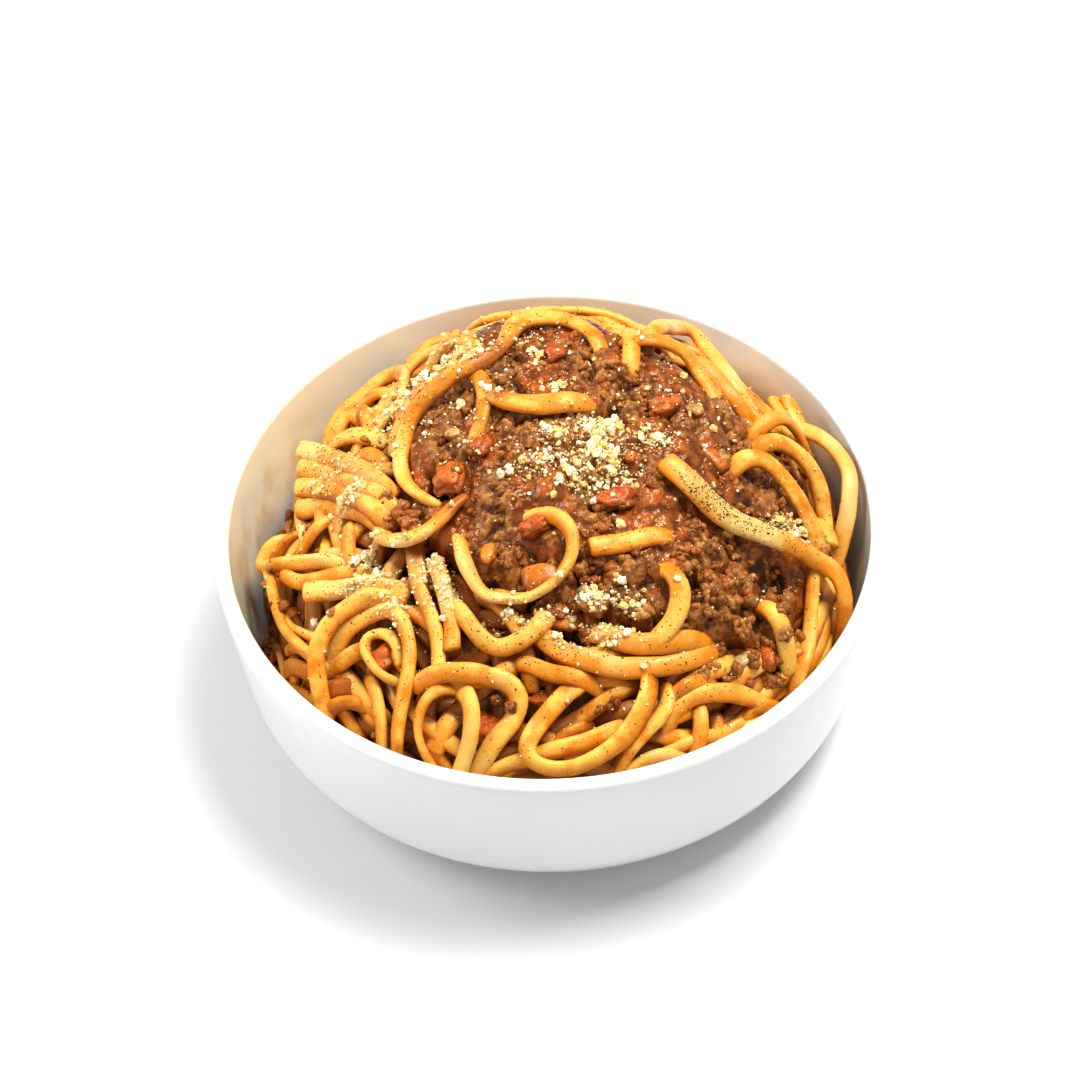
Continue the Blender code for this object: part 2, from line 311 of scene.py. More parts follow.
class Strand:
    """One length of linguine: its path in plan, its oval section, and how it lies on the pile.

    Its width, the turn of its broad side in degrees, its stain and its lift off the pile are one value
    each or values evenly spaced along it. Its ends go down by the dive. Heights, spaced in the same way,
    are those of its middle line over the floor, for a strand that stands clear of the pile.
    """

    def __init__(self, points, width=4.1, turn=0, stain=0.1, dive=(5, 5), lift=0, heights=None):
        self.seed = int(rng.integers(1 << 20))
        self.plan = eased(plan_path(points), 5)
        self.stain = self.along(stain)
        self.dive = dive
        self.lift = self.along(lift)
        self.heights = None if heights is None else self.along(heights)
        width = self.along(width)
        thickness = np.minimum(STRAND_THICKNESS, FLATNESS * width)
        count = len(self.plan)
        along = np.arange(count) * STRAND_STEP
        line = np.stack([along, np.zeros(count), np.zeros(count)], axis=1)
        self.half_width = width / 2 * (1 + 0.09 * layered(line, 15.0, 2, self.seed))
        self.half_thickness = thickness / 2 * (1 + 0.08 * layered(line, 11.0, 2, self.seed + 1))
        wave = 18 * noise(line, 20.0, self.seed + 2)
        self.turn = np.radians(self.along(turn) + wave)
        self.keep_inside()
        self.set_section()

    def along(self, values):
        """One value, or evenly spaced ones, read off at each point of the path."""
        values = np.atleast_1d(values)
        return np.interp(np.linspace(0, 1, len(self.plan)), np.linspace(0, 1, len(values)), values)

    def keep_inside(self):
        """Draws the path in where it would cut into the bowl's wall."""
        limit = INNER_RADIUS - WALL_CLEARANCE - np.maximum(self.half_width, self.half_thickness)
        radius = np.linalg.norm(self.plan, axis=1)
        self.plan *= np.minimum(1, limit / np.maximum(radius, 1e-6))[:, None]

    def set_section(self):
        """Directions across and up, and how far the turned section reaches along both."""
        forward = unit(np.gradient(self.plan, axis=0))
        across = np.stack([-forward[:, 1], forward[:, 0]], axis=1)
        slope = np.stack([at(slope_x, self.plan), at(slope_y, self.plan)], axis=1)
        lean = np.sum(slope * across, axis=1)
        self.across = unit(np.column_stack([across, lean]))
        self.up = unit(np.column_stack([-slope, np.ones(len(slope))]))
        cosine, sine = np.cos(self.turn), np.sin(self.turn)
        self.reach = np.hypot(self.half_width * cosine, self.half_thickness * sine)
        self.rise = np.hypot(self.half_width * sine, self.half_thickness * cosine)

    def rest(self, lowest=None):
        """Heights at which the strand lies on the pile, sagging beside what holds it up.

        A lowest depth under the pile's outline keeps a strand that is seen in its place above a gap.
        """
        height = np.full(len(self.plan), -1e9)
        for share in (-0.9, -0.6, -0.3, 0.0, 0.3, 0.6, 0.9):
            offset = self.across * (self.reach * share)[:, None]
            below = at(pile, self.plan + offset[:, :2])
            bulge = self.rise * math.sqrt(1 - share * share) * self.up[:, 2]
            height = np.maximum(height, below - offset[:, 2] + bulge)
        held = height.copy()
        for steps in range(1, 14):
            drop = SAG * (steps * STRAND_STEP) ** 2
            held[steps:] = np.maximum(held[steps:], height[:-steps] - drop)
            held[:-steps] = np.maximum(held[:-steps], height[steps:] - drop)
        if lowest is not None:
            held = np.maximum(held, at(smooth_goal, self.plan) - self.rise - lowest)
        along = np.arange(len(held)) * STRAND_STEP
        held = held + eased(self.lift, 12)
        for depth, away in zip(self.dive, (along, along[::-1])):
            held = held - depth * np.clip(1 - away / DIVE_LENGTH, 0, 1) ** 2
        if self.heights is not None:
            held = self.heights
        self.height = eased(np.minimum(held, CEILING - 1.1 * self.rise), 4)
        return self.height

    def press_in(self):
        """Marks the strand's upper side on the map of the pile."""
        fine = np.linspace(0, len(self.plan) - 1, 3 * len(self.plan))
        index = np.arange(len(self.plan))

        def between(values):
            return np.interp(fine, index, values)

        plan = np.stack([between(self.plan[:, 0]), between(self.plan[:, 1])], axis=1)
        across = np.stack([between(self.across[:, k]) for k in range(3)], axis=1)
        reach, rise = between(self.reach), between(self.rise * self.up[:, 2])
        for share in np.linspace(-0.95, 0.95, 13):
            offset = across * (reach * share)[:, None]
            top = between(self.height) + offset[:, 2] + rise * math.sqrt(1 - share * share)
            raise_to(plan + offset[:, :2], top)

    def spine(self):
        """The middle line, carried on by two places at each end, and the section's two directions."""
        centre = np.column_stack([self.plan, self.height])
        forward = unit(np.gradient(centre, axis=0))
        across = unit(self.across - forward * np.sum(self.across * forward, axis=1, keepdims=True))
        up = np.cross(forward, across)
        cosine, sine = np.cos(self.turn)[:, None], np.sin(self.turn)[:, None]
        broad = across * cosine + up * sine
        narrow = up * cosine - across * sine
        first, last = centre[:1] - forward[:1] * END_REACH[::-1], centre[-1:] + forward[-1:] * END_REACH
        broad, narrow = (np.pad(v, ((2, 2), (0, 0)), "edge") for v in (broad, narrow))
        return np.concatenate([first, centre, last]), broad, narrow

    def looks(self, points, sides):
        """What the material reads at the skin's points, apart from how low they are on the strand."""
        deep = buried(points)
        near_sauce = at(in_sauce, points[:, :2])
        patch = layered(points, 11.0, 2, self.seed + 3)
        own = np.repeat(np.pad(self.stain, 2, "edge"), sides)
        own = np.concatenate([own, self.stain[:1], self.stain[-1:]])
        front = np.clip((-points[:, 1] - 15) / 40, 0, 1)
        # The stain adds to the strand's own sauce: more near the sauce, at random and towards the front, and
        # more the deeper the skin lies in the pile's hollows, partly sauce gathered there and partly painted
        # shade.
        stain = np.clip(own + 0.40 * deep + 0.25 * near_sauce + 0.30 * patch + 0.12 * front, -1, 1.5)
        tone = 0.5 + 0.5 * math.sin(self.seed)
        herbs, cheese = at(dusting["herbs"], points[:, :2]), at(dusting["cheese"], points[:, :2])
        return {"stain": stain, "tone": tone, "deep": deep, "herbs": herbs, "cheese": cheese}

    def mesh(self, shape, sides):
        """Adds the strand's skin to a shape."""
        centre, broad, narrow = self.spine()
        half_width, half_thickness = (
            np.concatenate([v[:1] - END_SHRINK[::-1] * v.mean(), v, v[-1:] - END_SHRINK * v.mean()])
            for v in (self.half_width, self.half_thickness)
        )
        angle = np.linspace(0, 2 * math.pi, sides, endpoint=False)
        round_x = np.sign(np.cos(angle)) * np.abs(np.cos(angle)) ** SQUARENESS
        round_y = np.sign(np.sin(angle)) * np.abs(np.sin(angle)) ** SQUARENESS
        rings = (
            centre[:, None, :]
            + broad[:, None, :] * half_width[:, None, None] * round_x[None, :, None]
            + narrow[:, None, :] * half_thickness[:, None, None] * round_y[None, :, None]
        )
        outward = unit(rings - centre[:, None, :]).reshape(-1, 3)
        # Painted shade: how low each vertex sits on its section, from 0 on top to 1 underneath, with which
        # the material paints each strand paler on top and more orange on its lower side.
        offset = rings[..., 2] - centre[:, None, 2]
        low = 0.5 - 0.5 * offset / np.abs(offset).max(axis=1, keepdims=True)
        low = np.concatenate([low.ravel(), [0.5, 0.5]])
        points = rings.reshape(-1, 3)
        points = points + 0.11 * outward * layered(points, 3.2, 2, self.seed)[:, None]
        points = np.concatenate([points, centre[:1], centre[-1:]])
        shape.add(points, tube_faces(len(centre), sides), low=low, **self.looks(points, sides))


def buried(points):
    """How far points lie in the hollows of the finished pile, from 0 to 1."""
    around = at(blurred_pile["near"], points[:, :2]) - points[:, 2]
    below = at(blurred_pile["wide"], points[:, :2]) - points[:, 2]
    return np.clip(0.22 * around + 0.10 * below + 0.10, 0, 1)


# Filled once all the food is laid: the pile's map smoothed, and how thickly cheese and herbs lie.
blurred_pile = {}
dusting = {}


def wander(start, heading, length, bend):
    """Places along a path that winds at random and turns back from the bowl's wall."""
    place, places = np.array(start, float), []
    curve = rng.normal() * bend
    stride = 3.0
    for _ in range(int(length / stride)):
        places.append(place.copy())
        curve = 0.86 * curve + 0.5 * bend * rng.normal()
        radius = np.linalg.norm(place)
        outward = place / max(radius, 1e-6)
        facing = np.array([math.cos(heading), math.sin(heading)])
        push = max(0.0, (radius - TURN_RADIUS) / 10.0) * max(0.0, facing @ outward)
        side = facing[0] * outward[1] - facing[1] * outward[0]
        heading += stride * (curve - 0.16 * push * (1 if side > 0 else -1))
        place = place + stride * np.array([math.cos(heading), math.sin(heading)])
    return places


def fill(strands, wanted, tries, depth, allowed, dive=0.0, lengths=(45, 125), stains=(0.0, 0.35)):
    """Lays random strands in the lowest places, up to a depth under the pile's outline."""
    spots = GRID.reshape(CELLS, CELLS, 2)[::5, ::5].reshape(-1, 2)
    spots = spots[(np.linalg.norm(spots, axis=1) < FOOD_RADIUS) & (at(allowed, spots) > 0.5)]
    tired = np.zeros(len(spots))
    full = len(strands) + wanted
    for _ in range(tries):
        room = at(smooth_goal, spots) - at(pile, spots) - tired + rng.normal(0, 0.8, len(spots))
        pick = int(np.argmax(room))
        tired[pick] += 1.5
        places = wander(spots[pick], rng.uniform(0, 2 * math.pi), rng.uniform(*lengths), 0.04)
        strand = Strand(
            places,
            width=rng.normal(STRAND_WIDTH, 0.3),
            turn=rng.uniform(-40, 40, 2),
            stain=rng.uniform(*stains),
            dive=rng.uniform(0.6 * dive, dive, 2),
        )
        if np.mean(at(allowed, strand.plan)) < 0.6:
            continue
        under = depth + UNDER_SAUCE * (at(in_sauce, strand.plan) if depth > 0 else 0)
        over = strand.rest() + strand.rise - (at(smooth_goal, strand.plan) - under)
        if np.percentile(over, 75) > 0 or over.max() > 2.2:
            continue
        strand.press_in()
        strands.append(strand)
        if len(strands) == full:
            break


# ---- Materials ----


class Material:
    """A node material, written down node by node."""

    def __init__(self, name, roughness, **settings):
        self.material = bpy.data.materials.new(name)
        self.material.use_nodes = True
        self.tree = self.material.node_tree
        self.shader = self.tree.nodes["Principled BSDF"]
        self.place = self.node("ShaderNodeTexCoord").outputs["Object"]
        self.shader.inputs["Roughness"].default_value = roughness
        for name, value in settings.items():
            self.shader.inputs[name.replace("_", " ")].default_value = value

    def node(self, kind, inputs=(), **settings):
        node = self.tree.nodes.new(kind)
        for name, value in settings.items():
            setattr(node, name, value)
        for name, value in dict(inputs).items():
            self.feed(node.inputs[name], value)
        return node

    def feed(self, socket, value):
        if isinstance(value, bpy.types.NodeSocket):
            self.tree.links.new(value, socket)
        elif isinstance(value, tuple) and socket.type == "RGBA":
            socket.default_value = (*value, 1.0)
        else:
            socket.default_value = value

    def set(self, name, value):
        self.feed(self.shader.inputs[name], value)

    def noise(self, size, detail=2.0, roughness=0.5):
        """Noise from 0 to 1 with humps of about that many millimetres."""
        inputs = {"Vector": self.place, "Scale": 1 / (size * MM), "Detail": detail, "Roughness": roughness}
        return self.node("ShaderNodeTexNoise", inputs).outputs["Fac"]

    def cells(self, size):
        """Distance to the middle of the nearest cell, in cells."""
        inputs = {"Vector": self.place, "Scale": 1 / (size * MM)}
        return self.node("ShaderNodeTexVoronoi", inputs).outputs["Distance"]

    def value(self, name):
        """A value that the mesh carries at each vertex."""
        return self.node("ShaderNodeAttribute", attribute_name=name).outputs["Fac"]

    def math(self, operation, first, second):
        return self.node("ShaderNodeMath", {0: first, 1: second}, operation=operation).outputs[0]

    def product(self, first, second):
        return self.math("MULTIPLY", first, second)

    def sum(self, first, second):
        return self.math("ADD", first, second)

    def between(self, value, low, high, low_out=0.0, high_out=1.0):
        """A value that goes smoothly from one output to the other as it passes from low to high."""
        inputs = {"Value": value, "From Min": low, "From Max": high, "To Min": low_out, "To Max": high_out}
        return self.node("ShaderNodeMapRange", inputs, interpolation_type="SMOOTHSTEP").outputs["Result"]

    def mix(self, share, first, second):
        """A colour between two others."""
        node = self.node("ShaderNodeMix", data_type="RGBA")
        for socket, value in ((0, share), (6, first), (7, second)):
            self.feed(node.inputs[socket], value)
        return node.outputs[2]

    def bump(self, height, depth, normal=None):
        """Relief of that many millimetres from a height between 0 and 1."""
        inputs = {"Height": height, "Distance": depth * MM, "Strength": 1.0}
        if normal:
            inputs["Normal"] = normal
        return self.node("ShaderNodeBump", inputs).outputs["Normal"]

    def soften(self, weight, radius, scale):
        """Light that goes a little way under the surface."""
        self.set("Subsurface Weight", weight)
        self.set("Subsurface Radius", radius)
        self.set("Subsurface Scale", scale * MM)


# The food's gloss is as warm as the food, since it is wet with oil and sauce.
WARM_SHINE = (1.0, 0.78, 0.45, 1.0)


def linguine_material():
    """Pasta from pale to golden, orange where sauce clings to it, with painted shade: more orange underneath
    and brown in the hollows.
    """
    m = Material("linguine", 0.4, Coat_Weight=0.08, Coat_Roughness=0.25, Specular_Tint=WARM_SHINE)
    low, stain = m.value("low"), m.value("stain")
    tone = m.sum(m.product(m.value("tone"), 0.20), m.product(m.noise(5.0, 4.0, 0.6), 0.65))
    # Painted shade: each strand's lower side is shifted from pale towards orange.
    tone = m.sum(tone, m.product(low, 0.40))
    clean = m.mix(m.between(tone, 0.34, 0.72), (0.85, 0.47, 0.070), (0.74, 0.200, 0.004))
    clean = m.mix(m.between(stain, -0.25, 0.05, 1.0, 0.0), clean, (0.82, 0.55, 0.17))
    herbs = m.product(m.value("herbs"), m.between(m.noise(2.5, 3.0), 0.25, 0.75))
    clean = m.mix(m.product(herbs, 0.65), clean, (0.44, 0.28, 0.055))
    patches = m.sum(stain, m.product(m.math("SUBTRACT", m.noise(4.0, 4.0), 0.5), 1.6))
    # Painted shade: more orange stain on each strand's lower side.
    patches = m.sum(patches, m.between(low, 0.2, 0.8, -0.10, 0.42))
    stained = m.mix(m.between(patches, 0.10, 0.52), clean, (0.72, 0.225, 0.005))
    soaked = m.mix(m.between(patches, 0.42, 0.95), stained, (0.38, 0.085, 0.004))
    specks = m.between(m.noise(0.55, 1.0), 0.60, 0.70)
    specks = m.product(specks, m.between(patches, -0.3, 0.5, 0.15, 0.75))
    speckled = m.mix(specks, soaked, (0.42, 0.130, 0.012))
    # Painted shade: strands down in the pile's hollows darkened to brown.
    deep = m.mix(m.between(m.value("deep"), 0.14, 0.64, 0.0, 0.92), speckled, (0.22, 0.052, 0.003))
    powder = m.product(m.value("cheese"), m.between(m.noise(1.3, 4.0), 0.42, 0.60))
    powder = m.product(powder, m.between(m.value("deep"), 0.12, 0.35, 1.0, 0.0))
    m.set("Base Color", m.mix(m.product(powder, 0.75), deep, (0.88, 0.74, 0.42)))
    m.set("Roughness", m.between(m.noise(3.0, 3.0), 0.3, 0.7, 0.34, 0.55))
    relief = m.bump(m.noise(2.4, 2.0), 0.12)
    m.set("Normal", m.bump(m.noise(0.7, 3.0), 0.05, relief))
    m.soften(0.15, (1.0, 0.45, 0.08), 1.2)
    return m.material


def sauce_material():
    """Fine mince in places and runny sauce in others, with painted shade that darkens it the deeper it lies.
    """
    m = Material("meat_sauce", 0.25, Coat_Weight=0.05, Coat_Roughness=0.03, Specular_Tint=WARM_SHINE)
    grain = m.noise(1.7, 4.0)
    mince = m.mix(m.between(grain, 0.38, 0.62), (0.15, 0.036, 0.006), (0.42, 0.155, 0.028))
    runny = m.mix(m.between(m.noise(3.0, 4.0), 0.38, 0.64), (0.12, 0.024, 0.003), (0.36, 0.085, 0.011))
    runny = m.mix(m.between(m.noise(6.0, 3.0), 0.56, 0.68, 0.0, 0.6), runny, (0.50, 0.075, 0.004))
    wet = m.sum(m.value("wet"), m.product(m.math("SUBTRACT", grain, 0.5), 1.2))
    surface = m.mix(m.between(wet, 0.25, 0.60), mince, runny)
    # Painted shade: the sauce darkened to dark brown, and then near black, in its hollows.
    low = m.mix(m.between(m.value("deep"), 0.25, 0.65), surface, (0.15, 0.032, 0.004))
    m.set("Base Color", m.mix(m.between(m.value("deep"), 0.60, 1.0), low, (0.035, 0.010, 0.002)))
    m.set("Roughness", m.between(wet, 0.2, 0.8, 0.46, 0.15))
    m.set("Normal", m.bump(m.noise(0.8, 3.0), 0.22))
    m.soften(0.1, (1.0, 0.25, 0.05), 1.0)
    return m.material


def meat_material():
    """Granules from dark brown to tan, reddish where sauce coats them, with painted shade on each crumb's
    lower side.
    """
    m = Material("minced_meat", 0.4, Coat_Weight=0.03, Coat_Roughness=0.05, Specular_Tint=WARM_SHINE)
    tone = m.sum(m.product(m.value("tone"), 0.55), m.product(m.noise(1.4, 3.0), 0.5))
    brown = m.mix(m.between(tone, 0.22, 0.52), (0.14, 0.038, 0.006), (0.36, 0.125, 0.024))
    tan = m.mix(m.between(tone, 0.58, 0.95), brown, (0.60, 0.30, 0.080))
    wet = m.between(m.noise(3.5, 3.0), 0.46, 0.58)
    coated = m.mix(m.product(wet, 0.75), tan, (0.38, 0.080, 0.008))
    zone = m.between(m.noise(9.0, 2.0), 0.42, 0.60)
    coated = m.mix(m.product(zone, 0.40), coated, (0.16, 0.040, 0.006))
    # Painted shade: the lower side of each crumb darkened towards near black.
    shade = m.between(m.value("low"), 0.32, 0.95, 0.0, 0.88)
    m.set("Base Color", m.mix(shade, coated, (0.10, 0.021, 0.003)))
    m.set("Roughness", m.between(m.noise(0.8, 2.0), 0.3, 0.7, 0.22, 0.5))
    m.set("Normal", m.bump(m.noise(0.55, 3.0), 0.16))
    m.soften(0.1, (1.0, 0.3, 0.08), 0.9)
    return m.material


def herb_material():
    """Ground pepper and dried leaves, from black to dull green."""
    m = Material("herb", 0.7, Specular_IOR_Level=0.15)
    tone = m.sum(m.product(m.value("tone"), 0.7), m.product(m.noise(0.5, 2.0), 0.3))
    m.set("Base Color", m.mix(m.between(tone, 0.3, 0.9), (0.020, 0.013, 0.006), (0.085, 0.060, 0.012)))
    return m.material


def core_material():
    """Sauce and crumbs in the dark between the strands."""
    m = Material("sauce_between_strands", 0.4, Specular_Tint=WARM_SHINE)
    tone = m.between(m.noise(3.0, 4.0), 0.35, 0.65)
    m.set("Base Color", m.mix(tone, (0.10, 0.028, 0.004), (0.34, 0.12, 0.014)))
    m.set("Normal", m.bump(m.math("SUBTRACT", m.noise(1.4, 3.0), m.cells(2.2)), 0.6))
    return m.material


def soft_material(name, dark, light, roughness, relief, size, coat=0.10, sauced=True):
    """Cooked vegetable or cheese: two tones, light under the surface, and patches of sauce if it has any."""
    m = Material(name, roughness, Coat_Weight=coat, Coat_Roughness=0.12, Specular_Tint=WARM_SHINE)
    tone = m.sum(m.product(m.value("tone"), 0.5), m.product(m.noise(size, 3.0), 0.5))
    colour = m.mix(m.between(tone, 0.25, 0.75), dark, light)
    if sauced:
        patches = m.sum(m.noise(2.2, 4.0), m.product(m.value("low"), 0.55))
        colour = m.mix(m.between(patches, 0.54, 0.80), colour, (0.26, 0.055, 0.006))
    m.set("Base Color", colour)
    m.set("Normal", m.bump(m.noise(size / 2, 3.0), relief))
    m.soften(0.15, (1.0, 0.4, 0.12), 1.0)
    return m.material


def glaze_material():
    """White glaze, painted lighter and cooler inside the wall against the food's reflected light, painted
    warm inside at the left as the food's reflection, with oil and sauce smeared there.
    """
    m = Material("bowl_glaze", 0.1, Coat_Weight=0.2, Coat_Roughness=0.04)
    glaze = m.mix(m.between(m.noise(30.0), 0.3, 0.7), (0.80, 0.815, 0.80), (0.83, 0.84, 0.82))
    x, y, z = m.node("ShaderNodeSeparateXYZ", {"Vector": m.place}).outputs
    flat = m.node("ShaderNodeVectorMath", {0: m.place, 1: (1.0, 1.0, 0.0)}, operation="MULTIPLY").outputs[0]
    radius = m.node("ShaderNodeVectorMath", {0: flat}, operation="LENGTH").outputs["Value"]
    inner = m.between(radius, (INNER_RADIUS + 0.4) * MM, (INNER_RADIUS + 1.6) * MM, 1.0, 0.0)
    inner = m.product(inner, m.between(z, 0.021, 0.026))
    # Painted light: inside the wall the glaze is lighter and greener-blue, a little less so near the lip,
    # against the food's reflected light.
    glaze_with_painted_light = m.mix(m.product(inner, m.between(z, 0.030, 0.047, 1.0, 0.8)), glaze, (0.85, 0.99, 0.97))
    # Painted reflection: the food's warm light on the inner wall at the left.
    beside = m.product(m.between(x, -0.030, -0.060), inner)
    glaze_with_painted_light = m.mix(m.product(beside, 0.9), glaze_with_painted_light, (0.96, 0.93, 0.68))
    left = m.product(m.between(x, -0.045, -0.062), m.between(y, -0.02, 0.0))
    smear = m.product(m.product(left, inner), m.between(m.noise(9.0, 2.0), 0.40, 0.70))
    smear = m.product(smear, m.between(z, 0.034, 0.044, 1.0, 0.0))
    m.set("Base Color", m.mix(m.product(smear, 0.6), glaze_with_painted_light, (0.78, 0.52, 0.14)))
    m.set("Roughness", m.between(m.noise(12.0, 2.0), 0.3, 0.7, 0.07, 0.13))
    m.set("Normal", m.bump(m.noise(22.0, 1.0), 0.12))
    return m.material


# ---- The bowl and the core ----


def arc(centre, radius, start, end, steps=12):
    """Points on an arc in the profile's plane, from one angle in degrees to the other."""
    angles = [math.radians(start + (end - start) * i / steps) for i in range(steps + 1)]
    return [(centre[0] + radius * math.cos(a), centre[1] + radius * math.sin(a)) for a in angles]


RIM_RADIUS = float(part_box("bowl")[1].x / MM)
BOWL_HEIGHT = float(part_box("bowl")[1].z / MM)
INNER_RADIUS = RIM_RADIUS - LIP_THICKNESS


def bowl_profile():
    """Inside of the floor, wall, rounded lip, outside and foot, as (radius, height) points."""
    corner = (RIM_RADIUS - WALL_TAPER - CORNER_RADIUS, FOOT_HEIGHT + CORNER_RADIUS)
    inner = CORNER_RADIUS - FLOOR_THICKNESS
    lip = (RIM_RADIUS - LIP_THICKNESS / 2, BOWL_HEIGHT - LIP_THICKNESS / 2)
    foot_inner = FOOT_RADIUS - FOOT_WIDTH
    round_off = 0.5
    wall = [(RIM_RADIUS, BOWL_HEIGHT - STRAIGHT_WALL * i / 4) for i in (1, 2, 3, 4)]
    profile = [(0.01, corner[1] - inner), (30.0, corner[1] - inner)]
    profile += arc(corner, inner, -90, 0)
    profile += arc(lip, LIP_THICKNESS / 2, 180, 0, 20)
    profile += wall[:3] + arc(corner, CORNER_RADIUS, 0, -90, 18)
    profile += [(FOOT_RADIUS + 2.0, FOOT_HEIGHT), (FOOT_RADIUS + 0.4, FOOT_HEIGHT - 0.8)]
    profile += arc((FOOT_RADIUS - round_off, round_off), round_off, 0, -90, 5)
    profile += arc((foot_inner + round_off, round_off), round_off, -90, -180, 5)
    profile += [(foot_inner - 0.5, FOOT_HEIGHT - 0.4), (foot_inner - 1.5, FOOT_HEIGHT), (0.01, FOOT_HEIGHT)]
    return profile


def make_bowl(material):
    """The bowl's profile turned about its axis."""
    segments = 192
    profile = np.array(bowl_profile())
    angle = np.linspace(0, 2 * math.pi, segments, endpoint=False)
    x = profile[:, None, 0] * np.cos(angle)
    y = profile[:, None, 0] * np.sin(angle)
    z = np.broadcast_to(profile[:, None, 1], x.shape)
    points = np.stack([x, y, z], axis=-1).reshape(-1, 3)
    points = np.concatenate([points, [[0, 0, profile[0, 1]], [0, 0, profile[-1, 1]]]])
    shape = Shape()
    shape.add(points, [face[:, ::-1] for face in tube_faces(len(profile), segments)])
    return shape.make("bowl_body", material, "bowl_glaze", ["bowl"])


def make_core(material):
    """The dark, saucy inside of the heap, which the strands hide nearly everywhere."""
    segments, rings = 120, 44
    radius = np.linspace(0, 1, rings + 1)[1:]
    angle = np.linspace(0, 2 * math.pi, segments, endpoint=False)
    reach = INNER_RADIUS - CORE_MARGIN
    x, y = (radius[:, None] * reach * f(angle) for f in (np.cos, np.sin))
    plan = np.stack([x, y], axis=-1).reshape(-1, 2)
    floor = at(bowl_top, plan) + 0.4
    lumps = 0.8 * layered(on_floor(plan), 5.0)
    top = np.maximum(at(smooth_goal, plan) - CORE_DEPTH + lumps, floor + 0.5)
    upper = np.column_stack([plan, top])
    lower = np.column_stack([plan, floor]).reshape(rings, segments, 3)[::-1].reshape(-1, 3)
    middle_top = [0, 0, float(at(smooth_goal, np.zeros((1, 2)))[0]) - CORE_DEPTH]
    middle_floor = [0, 0, float(floor[0])]
    shape = Shape()
    shape.add(np.concatenate([upper, lower, [middle_top, middle_floor]]), tube_faces(2 * rings, segments))
    return shape.make("sauce_core", material, "meat_sauce")


# ---- Crumbs, chunks and grains ----


def ball(level):
    """Vertices and faces of a unit icosphere."""
    sphere = bmesh.new()
    bmesh.ops.create_icosphere(sphere, subdivisions=level, radius=1.0)
    sphere.verts.ensure_lookup_table()
    points = np.array([v.co for v in sphere.verts])
    faces = np.array([[v.index for v in f.verts] for f in sphere.faces])
    sphere.free()
    return points, faces


BALLS = {level: ball(level) for level in (1, 2, 3, 4)}


def spin(axis, angle):
    """Rotation matrices about unit axes."""
    x, y, z = np.moveaxis(np.asarray(axis, float), -1, 0)
    zero = np.zeros_like(x)
    cross = np.stack([zero, -z, y, z, zero, -x, -y, x, zero], axis=-1).reshape(*x.shape, 3, 3)
    sine, cosine = np.sin(angle)[..., None, None], np.cos(angle)[..., None, None]
    return np.eye(3) + sine * cross + (1 - cosine) * cross @ cross


def copied(faces, count, size):
    """The faces of that many copies of a mesh with so many vertices, one after another."""
    return (faces[None] + (np.arange(count) * size)[:, None, None]).reshape(-1, 3)


def random_turns(count):
    """Rotations to any side."""
    return spin(unit(rng.normal(size=(count, 3))), rng.uniform(0, 2 * math.pi, count))


def minced(radius):
    """Points, faces and count of the uneven granules that stick together in a crumb of minced meat."""
    points, faces = BALLS[2]
    count = int(3 + 2.8 * radius**1.7)
    sizes = math.sqrt(radius) * rng.uniform(0.34, 0.68, (count, 1, 1))
    sizes = sizes * rng.uniform(0.55, 1.55, (count, 1, 3))
    middles = unit(rng.normal(size=(count, 3))) * rng.uniform(0.1, 1, (count, 1)) ** 0.5
    middles *= 0.66 * radius * rng.uniform(0.6, 1.25, 3)
    own = points[None] + rng.uniform(-500, 500, (count, 1, 3))
    swell = 1 + 0.55 * noise(own, 0.8)[..., None]
    parts = (points[None] * swell * sizes) @ random_turns(count) + middles[:, None, :]
    return parts.reshape(-1, 3), copied(faces, count, len(points)), count


def drop(points, place, sink):
    """Sets a crumb down on the pile, clear of the wall and sunk by a share of its height, and marks it."""
    wide = np.linalg.norm(points[:, :2], axis=1).max()
    place = place * min(1.0, (INNER_RADIUS - WALL_CLEARANCE - wide) / max(np.linalg.norm(place), 1e-6))
    under = points[:, 2] < np.percentile(points[:, 2], 40)
    rest = np.percentile(at(pile, points[under, :2] + place) - points[under, 2], 70)
    placed = points + [*place, min(rest - sink * np.ptp(points[:, 2]), CEILING - points[:, 2].max())]
    above = points[:, 2] > 0
    raise_to(placed[above, :2], placed[above, 2])
    return placed


def add_mince(shape, place, radius, sink):
    """Adds one crumb, its granules in slightly different tones."""
    points, faces, count = minced(radius)
    # How low each vertex lies in the crumb, for the painted shade on its lower side.
    low = np.clip(0.5 - 0.5 * points[:, 2] / np.abs(points[:, 2]).max(), 0, 1)
    granule = np.repeat(rng.uniform(-0.25, 0.25, count), len(points) // count)
    shape.add(drop(points, place, sink), [faces], tone=np.clip(rng.uniform() + granule, 0, 1), low=low)


def scatter_meat(shape, count, mask, sizes, sink, least=0.2, lowest=-9.0):
    """Crumbs of minced meat where the mask is high, in the lower places first."""
    for _ in range(count):
        spots = rng.uniform(-68, 68, (10, 2))
        share = np.where(np.linalg.norm(spots, axis=1) < LOOSE_RADIUS, at(mask, spots), 0)
        room = at(smooth_goal, spots) - at(pile, spots)
        fits = (share >= least) & (room > lowest)
        if fits.any():
            best = np.argmax(np.where(fits, room + 6 * share, -np.inf))
            add_mince(shape, spots[best], rng.uniform(*sizes), sink)


